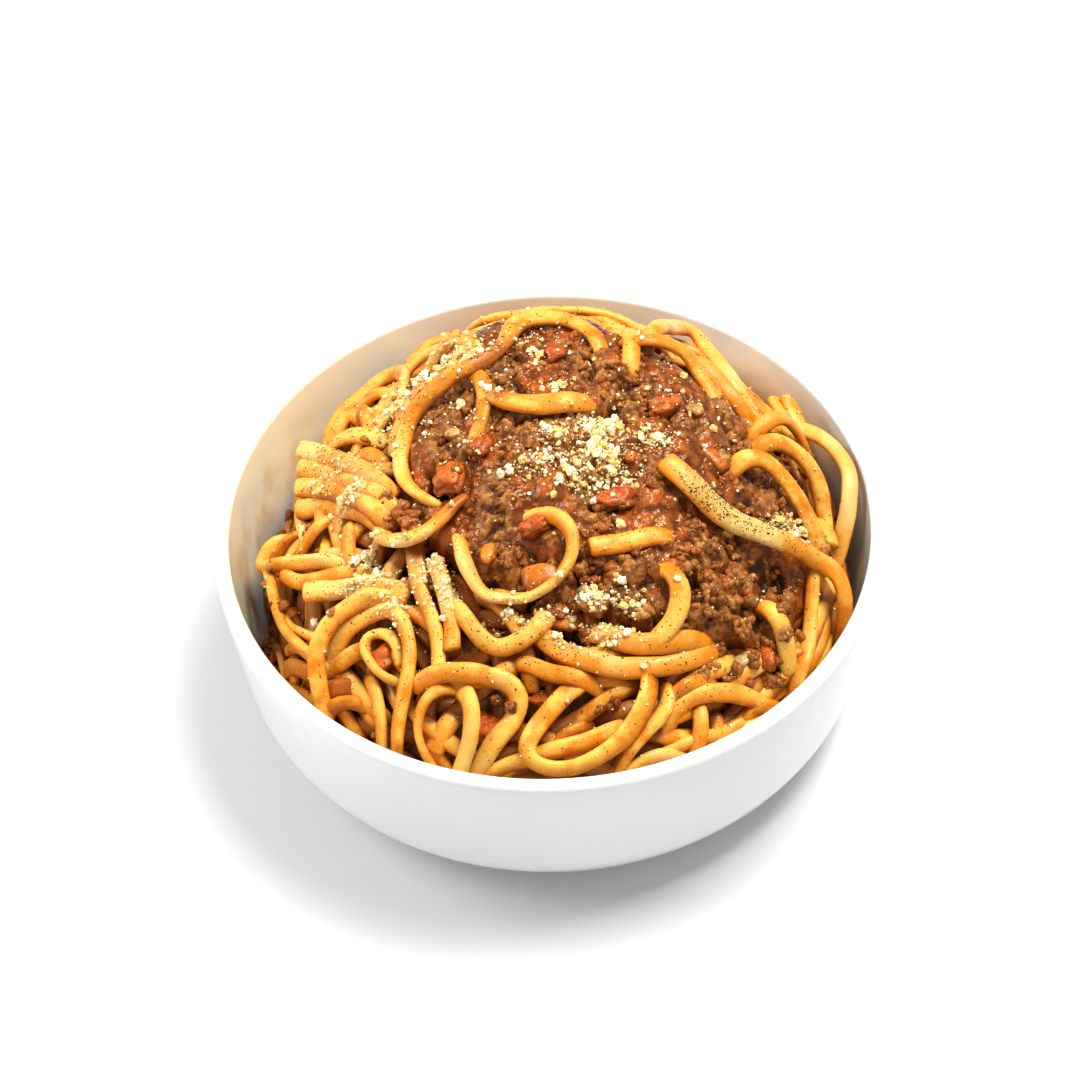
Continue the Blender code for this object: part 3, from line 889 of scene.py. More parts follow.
def nugget(centre, half_sizes, turn, square, rough, level=4):
    """A cut or cooked piece between a ball and a box, leaning with the pile's slope."""
    points, faces = BALLS[level]
    boxy = np.sign(points) * np.abs(points) ** square
    boxy = boxy / np.abs(boxy).max(axis=1, keepdims=True) ** (0.8 * (1 - square))
    offset = rng.uniform(-500, 500, 3)
    boxy = boxy * (1 + rough * layered(points + offset, 0.8, 3))[:, None]
    shaped = boxy * half_sizes
    shaped = shaped @ spin(np.array([0.0, 0.0, 1.0]), np.radians(turn)).T
    up = unit(np.array([-at(slope_x, centre[:2]), -at(slope_y, centre[:2]), 1.0]))
    axis = np.cross([0.0, 0.0, 1.0], up)
    lean = math.asin(min(1.0, float(np.linalg.norm(axis))))
    if lean > 0.01:
        shaped = shaped @ spin(unit(axis), np.array(0.7 * lean)).T
    return shaped + centre, faces


def scattered_grains(shape, places, normals, sizes, level, rough):
    """Small grains, each with its flat side against the surface on which it lies."""
    points, faces = BALLS[level]
    count = len(places)
    swell = np.clip(1 + rough * rng.normal(size=(count, len(points), 1)), 0.4, 1.8)
    shaped = points[None] * swell * sizes[:, None, :]
    up = np.broadcast_to([0.0, 0.0, 1.0], normals.shape)
    axis = np.cross(up, normals)
    length = np.linalg.norm(axis, axis=1)
    axis = np.where(length[:, None] > 1e-6, axis / np.maximum(length, 1e-6)[:, None], [1.0, 0.0, 0.0])
    lean = spin(axis, np.arccos(np.clip(normals[:, 2], -1, 1)))
    turn = spin(up, rng.uniform(0, 2 * math.pi, count))
    shaped = np.einsum("nij,nvj->nvi", lean @ turn, shaped) + places[:, None, :]
    shaped[..., 2] -= np.maximum(0, shaped[..., 2].max(axis=1) - GRAIN_CEILING)[:, None]
    tone = np.repeat(rng.uniform(size=count), len(points))
    shape.add(shaped.reshape(-1, 3), [copied(faces, count, len(points))], tone=tone)


class Surface:
    """All the food laid so far, so that grains can be dropped on it."""

    def __init__(self, *shapes):
        points, faces, count = [], [], 0
        for shape in shapes:
            points.append(np.concatenate(shape.points))
            for block in shape.faces:
                faces += (block + count).tolist()
            count += shape.count
        self.tree = BVHTree.FromPolygons(np.concatenate(points).tolist(), faces)

    def under(self, plan):
        """Points and normals where vertical lines first meet the food; lines that miss are left out."""
        places, normals = [], []
        for x, y in plan:
            hit, normal = self.tree.ray_cast(Vector((x, y, FALL_HEIGHT)), Vector((0, 0, -1)))[:2]
            if hit is not None and normal.z > STEEPEST:
                places.append(hit)
                normals.append(normal)
        return np.array(places), np.array(normals)


# Coarse and fine grains of cheese: share of the heaps' counts, number strewn loose, middle and greatest size,
# roughness, and level of their balls.
CHEESE_GRAINS = ((0.9, 80, 0.40, 1.05, 0.22, 2), (2.8, 700, 0.19, 0.34, 0.3, 1))
# Where the grated cheese fell: middle in plan, spread, and how many grains.
CHEESE_HEAPS = (
    ((12, 1), (2.6, 1.8), 70), ((2, 0), (1.8, 1.2), 35), ((11, -6), (3.6, 1.6), 60),
    ((6, -10), (1.5, 1.2), 20), ((-3, -7), (2.6, 1.6), 35), ((15, -10), (2.0, 1.5), 25),
    ((10, -2), (6.5, 4.0), 60), ((8, -13), (3.0, 1.5), 25), ((3, 13), (1.8, 1.0), 20),
    ((24, 0), (1.6, 1.4), 25), ((-1, 24), (1.0, 1.0), 8), ((-16, 23), (2.2, 1.4), 45),
    ((-20, 30), (2.2, 1.0), 25), ((-29, 23), (3.5, 2.5), 60), ((-18, 25), (3.0, 3.0), 30),
    ((-24, 28), (4.0, 2.5), 50), ((-35, 19), (3.0, 3.0), 35), ((-48, 9), (4.0, 3.0), 18),
    ((-43, -2), (2.0, 1.0), 30), ((-37, 3), (4.0, 3.0), 8), ((-18, 8), (7.0, 7.0), 30),
    ((-40, -16), (1.6, 1.2), 75), ((-41, -24), (4.0, 1.6), 40), ((-33, -31), (3.5, 2.6), 28),
    ((-24, -25), (1.6, 2.2), 18), ((-22, -32), (1.6, 2.2), 22), ((-28, -24), (4.0, 2.0), 30),
    ((6, -42), (5.0, 3.0), 40), ((14, -38), (4.0, 3.0), 45), ((8, -36), (3.0, 1.6), 35),
    ((-8, -37), (4.0, 1.5), 30), ((52, -12), (3.0, 2.0), 50), ((54, -14), (1.5, 1.2), 25),
    ((-4, 28), (6.0, 6.0), 25), ((28, 14), (8.0, 8.0), 20),
)
# Where pepper and dried herbs lie thickest, in the same form.
HERB_HEAPS = (
    ((35, -15), (4.0, 2.0), 280), ((42, -18), (5.0, 1.6), 130), ((-50, 12), (5.0, 5.0), 160),
    ((-14, 20), (4.0, 3.0), 70), ((-8, 29), (3.0, 4.0), 60), ((-31, 8), (3.0, 6.0), 30),
    ((50, -19), (5.0, 2.0), 40), ((30, -11), (3.0, 3.0), 30), ((-24, 24), (7.0, 4.5), 260),
    ((-30, 18), (4.0, 4.0), 90), ((-46, 10), (7.0, 6.0), 90), ((8, -2), (10.0, 5.0), 240),
    ((-8, -40), (8.0, 2.0), 110), ((3, -44), (8.0, 3.0), 120), ((20, -47), (8.0, 2.5), 60),
    ((-14, -47), (6.0, 2.5), 50), ((20, -24), (7.0, 2.0), 40), ((-30, -20), (8.0, 5.0), 70),
    ((-50, -12), (7.0, 6.0), 60), ((-38, -33), (7.0, 4.0), 60), ((28, -50), (8.0, 3.0), 40),
)


def thickness_of(heaps):
    """Map of how thickly the grains of these heaps lie, from 0 to 1."""
    total = np.zeros(GRID_X.shape)
    for (x, y), (spread_x, spread_y), count in heaps:
        away = ((GRID_X - x) / spread_x) ** 2 + ((GRID_Y - y) / spread_y) ** 2
        total += count / (spread_x * spread_y) * np.exp(-away / 2)
    return np.clip(total / 9.0, 0, 1)


def spread_over(heaps, share=1.0):
    """Places in plan gathered round the middles of heaps."""
    places = [rng.normal(middle, spread, (int(count * share), 2)) for middle, spread, count in heaps]
    places = np.concatenate(places)
    return places[np.linalg.norm(places, axis=1) < FOOD_RADIUS]


def loose(count):
    """Places in plan spread over the whole dish."""
    angle, reach = rng.uniform(0, 2 * math.pi, count), LOOSE_RADIUS * np.sqrt(rng.uniform(size=count))
    return np.column_stack([reach * np.cos(angle), reach * np.sin(angle)])


def make_cheese(surface, material):
    """Grated cheese in heaps and strewn loose, first coarse and then fine."""
    cheese = Shape()
    for share, strewn, middle, most, rough, level in CHEESE_GRAINS:
        places, normals = surface.under(np.concatenate([spread_over(CHEESE_HEAPS, share), loose(strewn)]))
        size = np.clip(rng.lognormal(math.log(middle), 0.40, (len(places), 1)), 0.08, most)
        sizes = size * rng.uniform(0.7, 1.2, (len(places), 3))
        heaped = places + normals * size * rng.uniform(0.3, 1.3, (len(places), 1))
        scattered_grains(cheese, heaped, normals, sizes, level, rough)
    return cheese.make("grated_cheese", material, "linguine", smooth=False)


def make_herbs(surface, material):
    """Pepper and dried herbs as small flat flecks, a few of them long."""
    herbs = Shape()
    places, normals = surface.under(np.concatenate([spread_over(HERB_HEAPS), loose(1700)]))
    limits = ((0.10, 0.27), (0.08, 0.18), (0.03, 0.09))
    sizes = np.column_stack([rng.uniform(low, high, len(places)) for low, high in limits])
    long = rng.uniform(size=len(places)) < 0.04
    sizes[long, 0] = rng.uniform(0.30, 0.55, long.sum())
    scattered_grains(herbs, places + normals * 0.02, normals, sizes, level=1, rough=0.3)
    return herbs.make("pepper_and_herbs", material, "linguine")


# ---- The strands that show, in the order in which they are laid ----


def noodle(*points, **settings):
    """A strand followed in the photo, or made up where it is hidden: its places in plan and its settings."""
    return {"points": points, **settings}


# Places in plan, in millimetres, followed along the strands in the photo.
ROUTES = (
    # At the back, behind the crest
    noodle((-28, 39), (-20, 46), (-10, 51), (0, 53), (14, 51), (22, 46), width=4.4, stain=0.2, lift=-1),
    noodle(
        (-25, 38), (-16, 45), (-5, 48.5), (8, 47.5), (17, 43),
        width=4.2, stain=0.3, lift=(-1, -3, -3, -1),
    ),
    noodle((-14, 54), (-7, 49), (-2, 51), (4, 56), (12, 58), width=3.8, lift=-2),
    noodle((-53, 25), (-46, 31), (-39, 34), (-31, 32), width=4.2, stain=0.3, lift=-2.5),
    noodle((-46, 17), (-43, 25), (-42, 33), (-37, 42), width=4.2, stain=0.4, lift=-2.5),
    noodle(
        (22, 26), (26, 34), (31, 43), (35, 47), (39, 43), (42, 36), (44, 30), (46, 24),
        turn=(10, 30), lift=1,
    ),
    noodle(
        (31, 34), (36, 33), (39, 29), (42, 25), (45, 21), (49, 18),
        width=3.7, turn=(20, 40), stain=0.3,
    ),
    noodle((21, 37), (20, 31), (20, 25), (19, 18), width=4.4, dive=(5, 4)),
    noodle(
        (18, 30), (22, 27), (29, 28), (33, 27), (36, 23), (38, 19), (39, 15),
        width=3.9, turn=(0, 20), stain=0.0,
    ),
    noodle((44, 37), (48, 34), (53, 29), width=3.3, turn=40, stain=0.6),
    noodle((53, 30.5), (54.5, 27), (56, 22.5), (57, 17), turn=20, heights=(50, 49.5, 48.5, 44)),
    noodle(
        (56, 30.5), (57.5, 26.5), (58.5, 22), (59.5, 16),
        turn=30, stain=0.3, heights=(50.5, 49.5, 47.5, 43),
    ),
    # Back left
    noodle((-48, 21), (-47, 27), (-44, 28), (-41, 22), (-39, 14), width=3.9, turn=20, stain=0.3),
    noodle((-49, 20), (-45, 25), (-41, 22), width=4.0, turn=20, stain=0.4),
    noodle(
        (-50, 22), (-50, 30), (-47, 37), (-43, 42), (-38, 45), (-34, 42), (-32, 35), (-32, 28), (-33, 18),
        width=4.2, turn=(50, 20), stain=0.25, heights=(45, 45, 44.8, 44.4, 47.5, 54, 59.5, 61, 60),
    ),
    noodle((-50, 20), (-45, 18), (-40, 16), (-35, 15), width=4.2, stain=0.0),
    noodle(
        (-32, 46), (-28, 51), (-24, 52), (-19, 51),
        width=3.0, turn=40, stain=0.2, heights=(50, 51, 52.5, 55),
    ),
    noodle(
        (-34, 37), (-30, 40), (-26, 40), (-22, 37),
        width=3.7, turn=10, stain=0.0, dive=(4, 0), lift=(0, 1),
    ),
    noodle((-22, 26), (-18, 29), (-14, 26), (-12, 22), width=3.9),
    noodle((-28, 30), (-24, 33), (-18, 33), (-13, 31), width=4.0),
    # Left
    noodle((-63, 24), (-65, 15), (-66, 7), (-66, -1), width=3.9, turn=60, stain=0.8),
    noodle((-44, -3), (-44, -8), (-44, -13), (-45, -18), width=4.2),
    noodle((-47, 2), (-50, -1), (-53, -3), (-57, -6), width=4.2, turn=20, stain=0.5),
    noodle((-55, 4), (-58, 2), (-61, 0), (-64, -3), width=3.7, turn=40, stain=0.7),
    noodle(
        (-58, 5), (-63, 2), (-66, -2), (-64, -7), (-58, -10), (-51, -13), (-46, -15), (-42, -17),
        turn=(60, 20), lift=(0, 2, 2, 0, 0),
    ),
    noodle(
        (-60, -9), (-58, -13), (-54, -16), (-50, -18), (-44, -18), (-37, -20),
        turn=(30, 20), stain=0.3,
    ),
    noodle(
        (-64, -5), (-63, -10), (-61, -15), (-58, -21), (-54, -26), (-48, -29),
        width=3.3, turn=(50, 60),
    ),
    noodle((-60, -22), (-56, -27), (-50, -31), width=3.0, turn=30, stain=0.2),
    noodle((-60, -25), (-56, -30), (-52, -33), width=4.2, stain=0.3),
    noodle(
        (-67, -8), (-65, -17), (-61, -27), (-55, -35), (-49, -42),
        width=4.0, turn=(50, 40), stain=0.4,
    ),
    noodle(
        (-63, -8), (-61, -18), (-56, -27), (-50, -34), (-44, -40),
        width=4.2, turn=(20, 40), stain=0.25,
    ),
    noodle((-54, -20), (-46, -22), (-41, -24), (-35, -25), (-30, -27), width=4.8, stain=0.0, dive=(1, 4)),
    # The J with a dark tip, and the fan of strands over its left arm
    noodle(
        (-17, -12), (-20, -14), (-22, -17), (-26, -20), (-30, -20), (-34, -18), (-36, -14), (-36, -8),
        width=(3.4, 4.8, 5.4, 5.2, 4.6), turn=(20, 40), stain=(1.4, 0.1, 0.0, 0.1, 0.1), dive=(0, 4),
        lift=(1, 1, 0),
    ),
    noodle(
        (-57.5, 6.5), (-54, 6), (-50, 4), (-45, -1), (-40, -6), (-35, -11),
        width=5.0, turn=(20, 10), stain=(0.3, 0.1, 0.3), heights=(43.5, 46, 49.5, 53.5, 56.5, 55),
    ),
    noodle(
        (-57.5, 12), (-52, 9), (-47, 4), (-42, -2), (-38, -7), (-34, -12),
        width=5.0, stain=(0.1, 0.6, 0.3, 0.3), heights=(45.5, 48.5, 52.5, 56.5, 59, 57),
    ),
    noodle(
        (-57, 17), (-52, 13.5), (-47, 8.5), (-42, 2), (-37, -4), (-33, -9),
        width=5.0, stain=(0, 0.2, 0.2), heights=(46.5, 49.5, 53, 57.5, 60.5, 58.5),
    ),
    noodle(
        (-57, 22.5), (-52, 18), (-47.5, 13), (-42.5, 6.5), (-38, 0), (-33, -6),
        width=5.0, stain=(-0.1, 0, 0.2), heights=(47.5, 50.5, 53.5, 58, 61.5, 60),
    ),
    # Left front: two arches with a small loop inside
    noodle((-40, -39), (-38, -45), (-37, -50), (-37, -58), width=3.4, turn=20, stain=0.0),
    noodle((-50, -37), (-44, -37), (-39, -36), (-35, -34), width=4.0, turn=20, stain=0.4),
    noodle((-52, -39), (-46, -41), (-40, -41), width=3.9, turn=20, stain=0.7),
    noodle((-52, -43), (-45, -44), (-39, -45), width=3.9, turn=20, stain=0.7),
    noodle(
        (-32, -42), (-33, -37), (-37, -34), (-40, -36), (-40, -39), (-37, -43), (-32, -44),
        width=3.4, turn=60, stain=0.0, dive=(2, 2), lift=(0, 1, 0),
    ),
    noodle(
        (-48, -38), (-46, -33), (-42, -31), (-37, -30), (-33, -32), (-31, -36), (-30, -42), (-31, -47),
        (-33, -53), (-34, -61),
        width=4.0, turn=30, stain=0.2, dive=(6, 5), lift=(0, 1, 1, 0, 0),
    ),
    noodle(
        (-49, -48), (-50, -42), (-51, -38), (-50, -34), (-47, -31), (-43, -29), (-37, -28), (-31, -29),
        width=3.9, turn=(50, 30), stain=0.3,
    ),
    # Front, left of the middle
    noodle((-26, -59), (-23, -55), (-19, -51), width=4.4, stain=0.0),
    noodle(
        (-29, -48), (-24, -48), (-19, -49), (-14, -49), (-10, -50), (-7, -53), (-9, -57), (-13, -60),
        (-18, -64),
        turn=(0, 20),
    ),
    noodle(
        (-20, -48), (-18, -53), (-17, -57), (-18, -61), (-22, -65),
        width=4.0, turn=(20, 40), stain=0.0,
    ),
    noodle(
        (-19, -49), (-24, -50), (-28, -53), (-29, -57), (-27, -61), (-22, -64),
        width=3.5, turn=50, stain=0.0,
    ),
    noodle((-30, -47), (-24, -48), (-18, -49), (-12, -49), width=4.2, turn=(0, 10), lift=(0, 1)),
    noodle(
        (-29, -25), (-27, -31), (-25, -36), (-24, -41), (-24, -47),
        width=3.7, turn=(20, 10), stain=0.15, dive=(3, 0),
    ),
    noodle(
        (-25, -22), (-23, -28), (-22, -33), (-21, -38), (-21, -44),
        width=3.9, turn=(20, 10), stain=0.0, dive=(3, 0),
    ),
    # Front, right of the middle
    noodle((29, -49), (30, -53), (30, -57), (28, -62), width=3.3, turn=40, stain=0.2),
    noodle((33, -51), (34, -55), (32, -59), width=3.3, turn=30),
    noodle((10, -66), (15, -64), (20, -62), (28, -60), width=3.9, turn=30, stain=0.0),
    noodle((38, -53), (43, -49), (48, -46), width=3.7, turn=20, stain=0.5),
    noodle((22, -58), (25, -54), (30, -51), (35, -50), (40, -49), (46, -48), width=4.0, turn=(20, 10)),
    noodle((-3, -62), (2, -59), (8, -56), width=3.9, turn=20, stain=0.5),
    noodle(
        (-17, -64), (-11, -63), (-5, -63), (1, -62), (6, -61), (11, -59), (16, -56),
        width=4.2, turn=(30, 10), stain=0.2,
    ),
    noodle(
        (22, -47), (23, -51), (23, -55), (20, -58), (16, -61), (10, -65),
        width=3.7, turn=(50, 40), stain=0.35,
    ),
    noodle(
        (6, -50), (1, -54.5), (-2, -57), (-4.5, -59.5), (-6.5, -62), (-6.5, -64.5), (-4, -66), (0, -66.5),
        (5, -66), (9.5, -64), (13, -62), (16, -59), (18, -56), (19.5, -52.5), (19.5, -49),
        width=(3.8, 4.2, 4.0, 4.4, 4.4), turn=(40, 20), stain=(0.4, 0.25, 0.15, 0.2, 0.5),
        heights=(50, 51, 50, 48, 46, 44.5, 43, 42.5, 43, 44, 45, 46.5, 48, 49.5, 50),
    ),
    noodle((22, -54), (28, -50), (34, -47), width=3.9, stain=0.4),
    noodle((-10, -44), (-5, -47), (0, -50), (5, -51), (11, -51), width=4.0, turn=10, stain=0.35),
    noodle(
        (-6, -38), (-3, -41), (1, -45), (6, -48), (12, -49), (18, -48), (24, -47), (29, -45), (34, -40),
        width=4.7, turn=(0, 10),
    ),
    noodle(
        (6, -39), (11, -42), (16, -44), (22, -44), (27, -43), (33, -40),
        width=4.7, turn=(0, 10), stain=0.2,
    ),
    noodle(
        (19, -27), (23, -30), (26, -34), (27, -38), (24, -42), (19, -44),
        width=(3.2, 4.4, 4.4), turn=10, stain=(0.2, 0.1, 0.1, 0.4), dive=(10, 5),
    ),
    # The crescent, and the ring above it
    noodle((-13, -31), (-9, -33), (-5, -33), width=3.9, stain=0.2),
    noodle(
        (-21, -32), (-19, -36), (-17, -40), (-14, -43), (-9, -44), (-5, -43), (-2, -40), (-1, -37),
        (-3, -33),
        width=4.2, turn=20, stain=0.15,
    ),
    noodle(
        (-6, -18), (0, -19), (4, -23), (5, -27), (4, -31), (0, -34), (-5, -35), (-11, -35), (-15, -33),
        (-18, -28), (-19, -21),
        width=3.8, turn=(40, 60), stain=0.0, dive=(3, 1), lift=(0, 1, 1, 1, 0),
    ),
    # Over the sauce
    noodle(
        (-16, 19), (-13, 14), (-13, 9), (-14, 4), (-16, -1),
        width=3.7, turn=10, stain=0.3, dive=(1, 3),
    ),
    noodle(
        (-12, 11), (-8, 8), (-3, 7), (3, 6), (7, 7), (12, 9),
        width=5.0, stain=(0.3, 0, 0.3), dive=(2, 5),
    ),
    noodle((-12, 25), (-17, 22), (-22, 20), (-27, 19), (-31, 15), (-34, 8), width=3.9, stain=0.25),
    noodle((-43, 13), (-38, 8), (-34, 3), width=4.2, stain=0.5, dive=(3, 6)),
    noodle(
        (-23, -11), (-27, -9), (-30, -5), (-32, 1), (-31, 7), (-28, 13), (-21, 16), (-14, 19), (-10, 23),
        (-8, 28), (-6, 34), (-3, 37), (1, 38), (5, 37), (9, 34), (12, 30), (14, 24),
        width=(3.9, 4.0, 3.8, 3.7, 3.5, 5.0, 4.0, 3.6), turn=(50, 20),
        stain=(0.1, 0, 0.1, 0.5, 0.6, -0.1, 0, 0.2), dive=(3, 5),
    ),
    noodle(
        (8, -27), (12, -26), (17, -25), (23, -23), (30, -21),
        width=(4.4, 4.4, 3.6), stain=(-0.2, 0, 0.4), dive=(0, 6), lift=-0.8,
    ),
    # Right
    noodle((43, -29), (46, -33), (49, -37), (50, -42), width=3.8, stain=0.2, dive=(7, 6), lift=-0.5),
    noodle(
        (56, -11), (57, -16), (57, -22), (56, -28), (55, -34), (53, -40), (49, -46),
        width=3.4, turn=75, stain=0.35,
    ),
    noodle((60, -1), (62, -4), (63, -10), width=4.2, stain=0.0, dive=(3, 0), lift=(0, 2)),
    noodle((39, -3), (44, 0), (49, 0), (54, -4), (57, -8), (60, -14), turn=(10, 40), stain=0.2),
    noodle((44, 4), (50, 7), (55, 8), (60, 6), (62, 1), (62, -6), width=3.9, turn=(10, 50), stain=0.2),
    noodle((44, 8), (49, 13), (55, 17), (60, 15), width=4.0, stain=0.2),
    noodle(
        (25, -7), (29, -11), (33, -14), (38, -17), (45, -18), (52, -19), (58, -19), (62, -21), (64, -25),
        (63, -31),
        width=(5.0, 5.0, 4.7, 4.2, 3.4), turn=(0, 50), stain=(-0.2, -0.5, -0.4, 0.1, 0.6), dive=(0, 5),
    ),
    noodle(
        (45, 16), (51, 21), (58, 22), (63, 19), (66, 14), (68, 8), (68, 3), (67, -2), (65, -7), (62, -12),
        width=3.9, turn=(30, 60), stain=(0.2, 0, 0, 0.2),
        heights=(50, 50, 48, 48, 48.5, 49, 49, 46, 38, 30),
    ),
)


# ---- Chunks, smaller bits and the sauce ----

# How much deeper the chunks lie in the sauce than their CAD bodies.
CHUNK_SINK = 1.5
# The chunks of the CAD model, made again in detail: kind, half sizes and turn in plan.
CHUNKS = {
    "tomato_chunk_1": ("tomato", (3.4, 2.2, 2.0), 20),
    "tomato_chunk_2": ("tomato", (3.8, 2.2, 2.1), 10),
    "tomato_chunk_3": ("tomato", (3.4, 3.8, 1.8), -15),
    "tomato_chunk_4": ("tomato", (3.9, 2.5, 2.1), 25),
    "carrot_slice_1": ("carrot", (3.8, 3.0, 1.6), 5),
    "carrot_slice_2": ("carrot", (3.2, 2.0, 1.6), -40),
    "onion_piece_1": ("onion", (3.6, 2.8, 1.9), -30),
}
# Smaller bits among the strands: kind, place in plan, half sizes and turn.
BITS = (
    ("tomato", (-36, -39), (3.2, 2.8, 2.0), 20),
    ("tomato", (-14, -55), (2.6, 3.6, 1.8), -20),
    ("tomato", (-3, -51), (3.2, 1.8, 1.6), -30),
    ("tomato", (8, -57), (3.0, 2.2, 1.6), 30),
    ("tomato", (58, 14), (3.4, 1.8, 1.6), -10),
    ("tomato", (45, -40), (1.5, 3.0, 1.6), 0),
    ("tomato", (17, -13), (2.2, 1.6, 1.5), 40),
    ("tomato", (25, -30), (2.4, 2.0, 1.5), 10),
    ("tomato", (-14, 0), (2.6, 2.2, 1.6), 60),
    ("tomato", (3, 24), (2.2, 2.0, 1.5), 30),
    ("carrot", (-58, -17), (1.5, 1.6, 1.3), 10),
    ("carrot", (-13, -26), (1.7, 2.8, 1.2), -15),
    ("carrot", (52, -37), (1.6, 1.0, 0.9), 0),
    ("carrot", (-33, -58), (1.4, 1.2, 1.0), 20),
    ("carrot", (18, -6), (1.6, 1.2, 1.0), 70),
    ("onion", (40, -42), (2.2, 1.4, 1.2), 30),
    ("onion", (33, 10), (2.0, 1.3, 1.0), -30),
    ("onion", (-20, 4), (1.8, 1.2, 1.0), 15),
)


def vegetable_materials():
    """A material for each kind, from its dark and light tone, roughness, relief and size of pattern."""
    looks = {
        "tomato": ((0.36, 0.038, 0.003), (0.68, 0.155, 0.012), 0.36, 0.34, 1.6),
        "carrot": ((0.44, 0.095, 0.005), (0.68, 0.21, 0.014), 0.36, 0.16, 1.8),
        "onion": ((0.32, 0.15, 0.040), (0.58, 0.35, 0.12), 0.30, 0.14, 1.5),
    }
    return {kind: soft_material("cooked_" + kind, *look) for kind, look in looks.items()}


# How square each kind is cut, and how rough it has become: 1 is a ball, lower is more of a box.
CUTS = {"tomato": (0.82, 0.38), "carrot": (0.80, 0.14), "onion": (0.70, 0.14)}


def foot(points):
    """How near points lie to the lowest one, from 0 at the top to 1."""
    low, high = points[:, 2].min(), points[:, 2].max()
    return (high - points[:, 2]) / (high - low)


def make_vegetables(materials):
    """The CAD chunks in detail, each in its place."""
    shapes = []
    for name, (kind, half_sizes, turn) in CHUNKS.items():
        low, high = (np.array(corner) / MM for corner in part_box(name))
        shape = Shape()
        middle = (low + high) / 2 - [0, 0, CHUNK_SINK]
        points, faces = nugget(middle, half_sizes, turn, *CUTS[kind])
        shape.add(points, [faces], tone=rng.uniform(0.3, 0.7), low=foot(points))
        shape.make("cooked_" + name, materials[kind], kind, [name])
        shapes.append(shape)
    return shapes


def raise_to_shapes(shapes):
    """Marks these shapes on the map of the pile."""
    for shape in shapes:
        points = np.concatenate(shape.points)
        upper = points[:, 2] > points[:, 2].mean()
        raise_to(points[upper, :2], points[upper, 2])


def lay_bits():
    """Smaller bits, laid on the pile as it then is; one shape for each kind."""
    bits = {kind: Shape() for kind in CUTS}
    for kind, place, half_sizes, turn in BITS:
        points, faces = nugget(np.zeros(3), half_sizes, turn, *CUTS[kind], level=3)
        laid = drop(points, np.array(place, float), 0.3)
        bits[kind].add(laid, [faces], tone=rng.uniform(0.2, 0.8), low=foot(points))
    return bits


def make_sauce_sheet(material):
    """The sauce with fine mince stuck in it, as one sheet: its shape, and its height over the map."""
    count = int(2 * (INNER_RADIUS - 2) / SHEET_STEP)
    axis = (np.arange(count) - count // 2) * SHEET_STEP
    x, y = np.meshgrid(axis, axis, indexing="ij")
    plan = np.stack([x, y], axis=-1).reshape(-1, 2)
    level = sauce_level(plan)
    share = at(in_sauce, plan).reshape(x.shape)
    covered = (share > SAUCE_EDGE) & (np.hypot(x, y) < INNER_RADIUS - 3)
    number = np.full(x.shape, -1)
    number[covered] = np.arange(covered.sum())
    points = np.column_stack([plan, level])[covered.ravel()]
    corners = [number[:-1, :-1], number[1:, :-1], number[1:, 1:], number[:-1, 1:]]
    faces = np.stack([c.ravel() for c in corners], axis=1)
    shape = Shape()
    rough_level = level.reshape(x.shape)
    # Painted shade: how far each point lies in a hollow of the sheet and under the pile's outline, with which
    # the material darkens the sauce towards black.
    around = sum(np.roll(rough_level, move, axis) for move in (-5, -3, 3, 5) for axis in (0, 1)) / 8
    below_goal = at(smooth_goal, plan).reshape(x.shape) - rough_level
    hollow_shade = np.clip(0.7 * (around - rough_level) + 0.12 * below_goal, 0, 1)[covered]
    shape.add(points, [faces[(faces >= 0).all(axis=1)]], deep=hollow_shade, wet=wetness(points[:, :2]))
    shape.make("sauce", material, "meat_sauce", ["meat_sauce"])
    return shape, sauce_level(GRID).reshape(GRID_X.shape)


# Deep dark hollows in the sauce, and its largest lumps of mince: middle in plan, half width, and depth
# or height.
HOLLOWS = (
    ((29, -30), 3.5, 3.5), ((46, -23), 4.5, 4.0), ((52, -22), 3.5, 3.0), ((37, -41), 3.5, 3.5),
    ((-30, -17), 4.0, 3.5), ((43, -10), 4.0, 3.5), ((-11, -38), 5.0, 4.0), ((-4, -27), 3.5, 3.0),
    ((2, -38), 4.0, 3.5), ((34, -48), 3.5, 3.0), ((-7, 13), 4.0, 3.5), ((15, 5), 3.5, 3.0),
    ((60, -23), 3.5, 4.0), ((8, -29), 4.0, 3.5), ((42, 7), 2.5, 2.5),
)
LUMPS = (
    ((34, -24), 2.7, 2.6), ((33, -29), 2.6, 2.4), ((39, -28), 2.5, 2.4), ((34, -34), 3.0, 2.6),
    ((42, -31), 2.6, 2.0), ((49, -29), 3.2, 2.0), ((52, -33), 2.6, 1.8), ((40, -37), 2.6, 1.8),
    ((45, -44), 2.8, 1.8), ((39, 1), 3.2, 1.8), ((44, 5), 2.8, 1.8), ((27, -26), 3.2, 1.6),
    ((22, -30), 3.4, 1.6), ((-12, -24), 2.4, 1.4), ((-30, -12), 3.0, 2.0), ((31, -40), 2.6, 2.0),
    ((18, -38), 3.0, 1.6), ((7, -40), 2.8, 1.6),
)


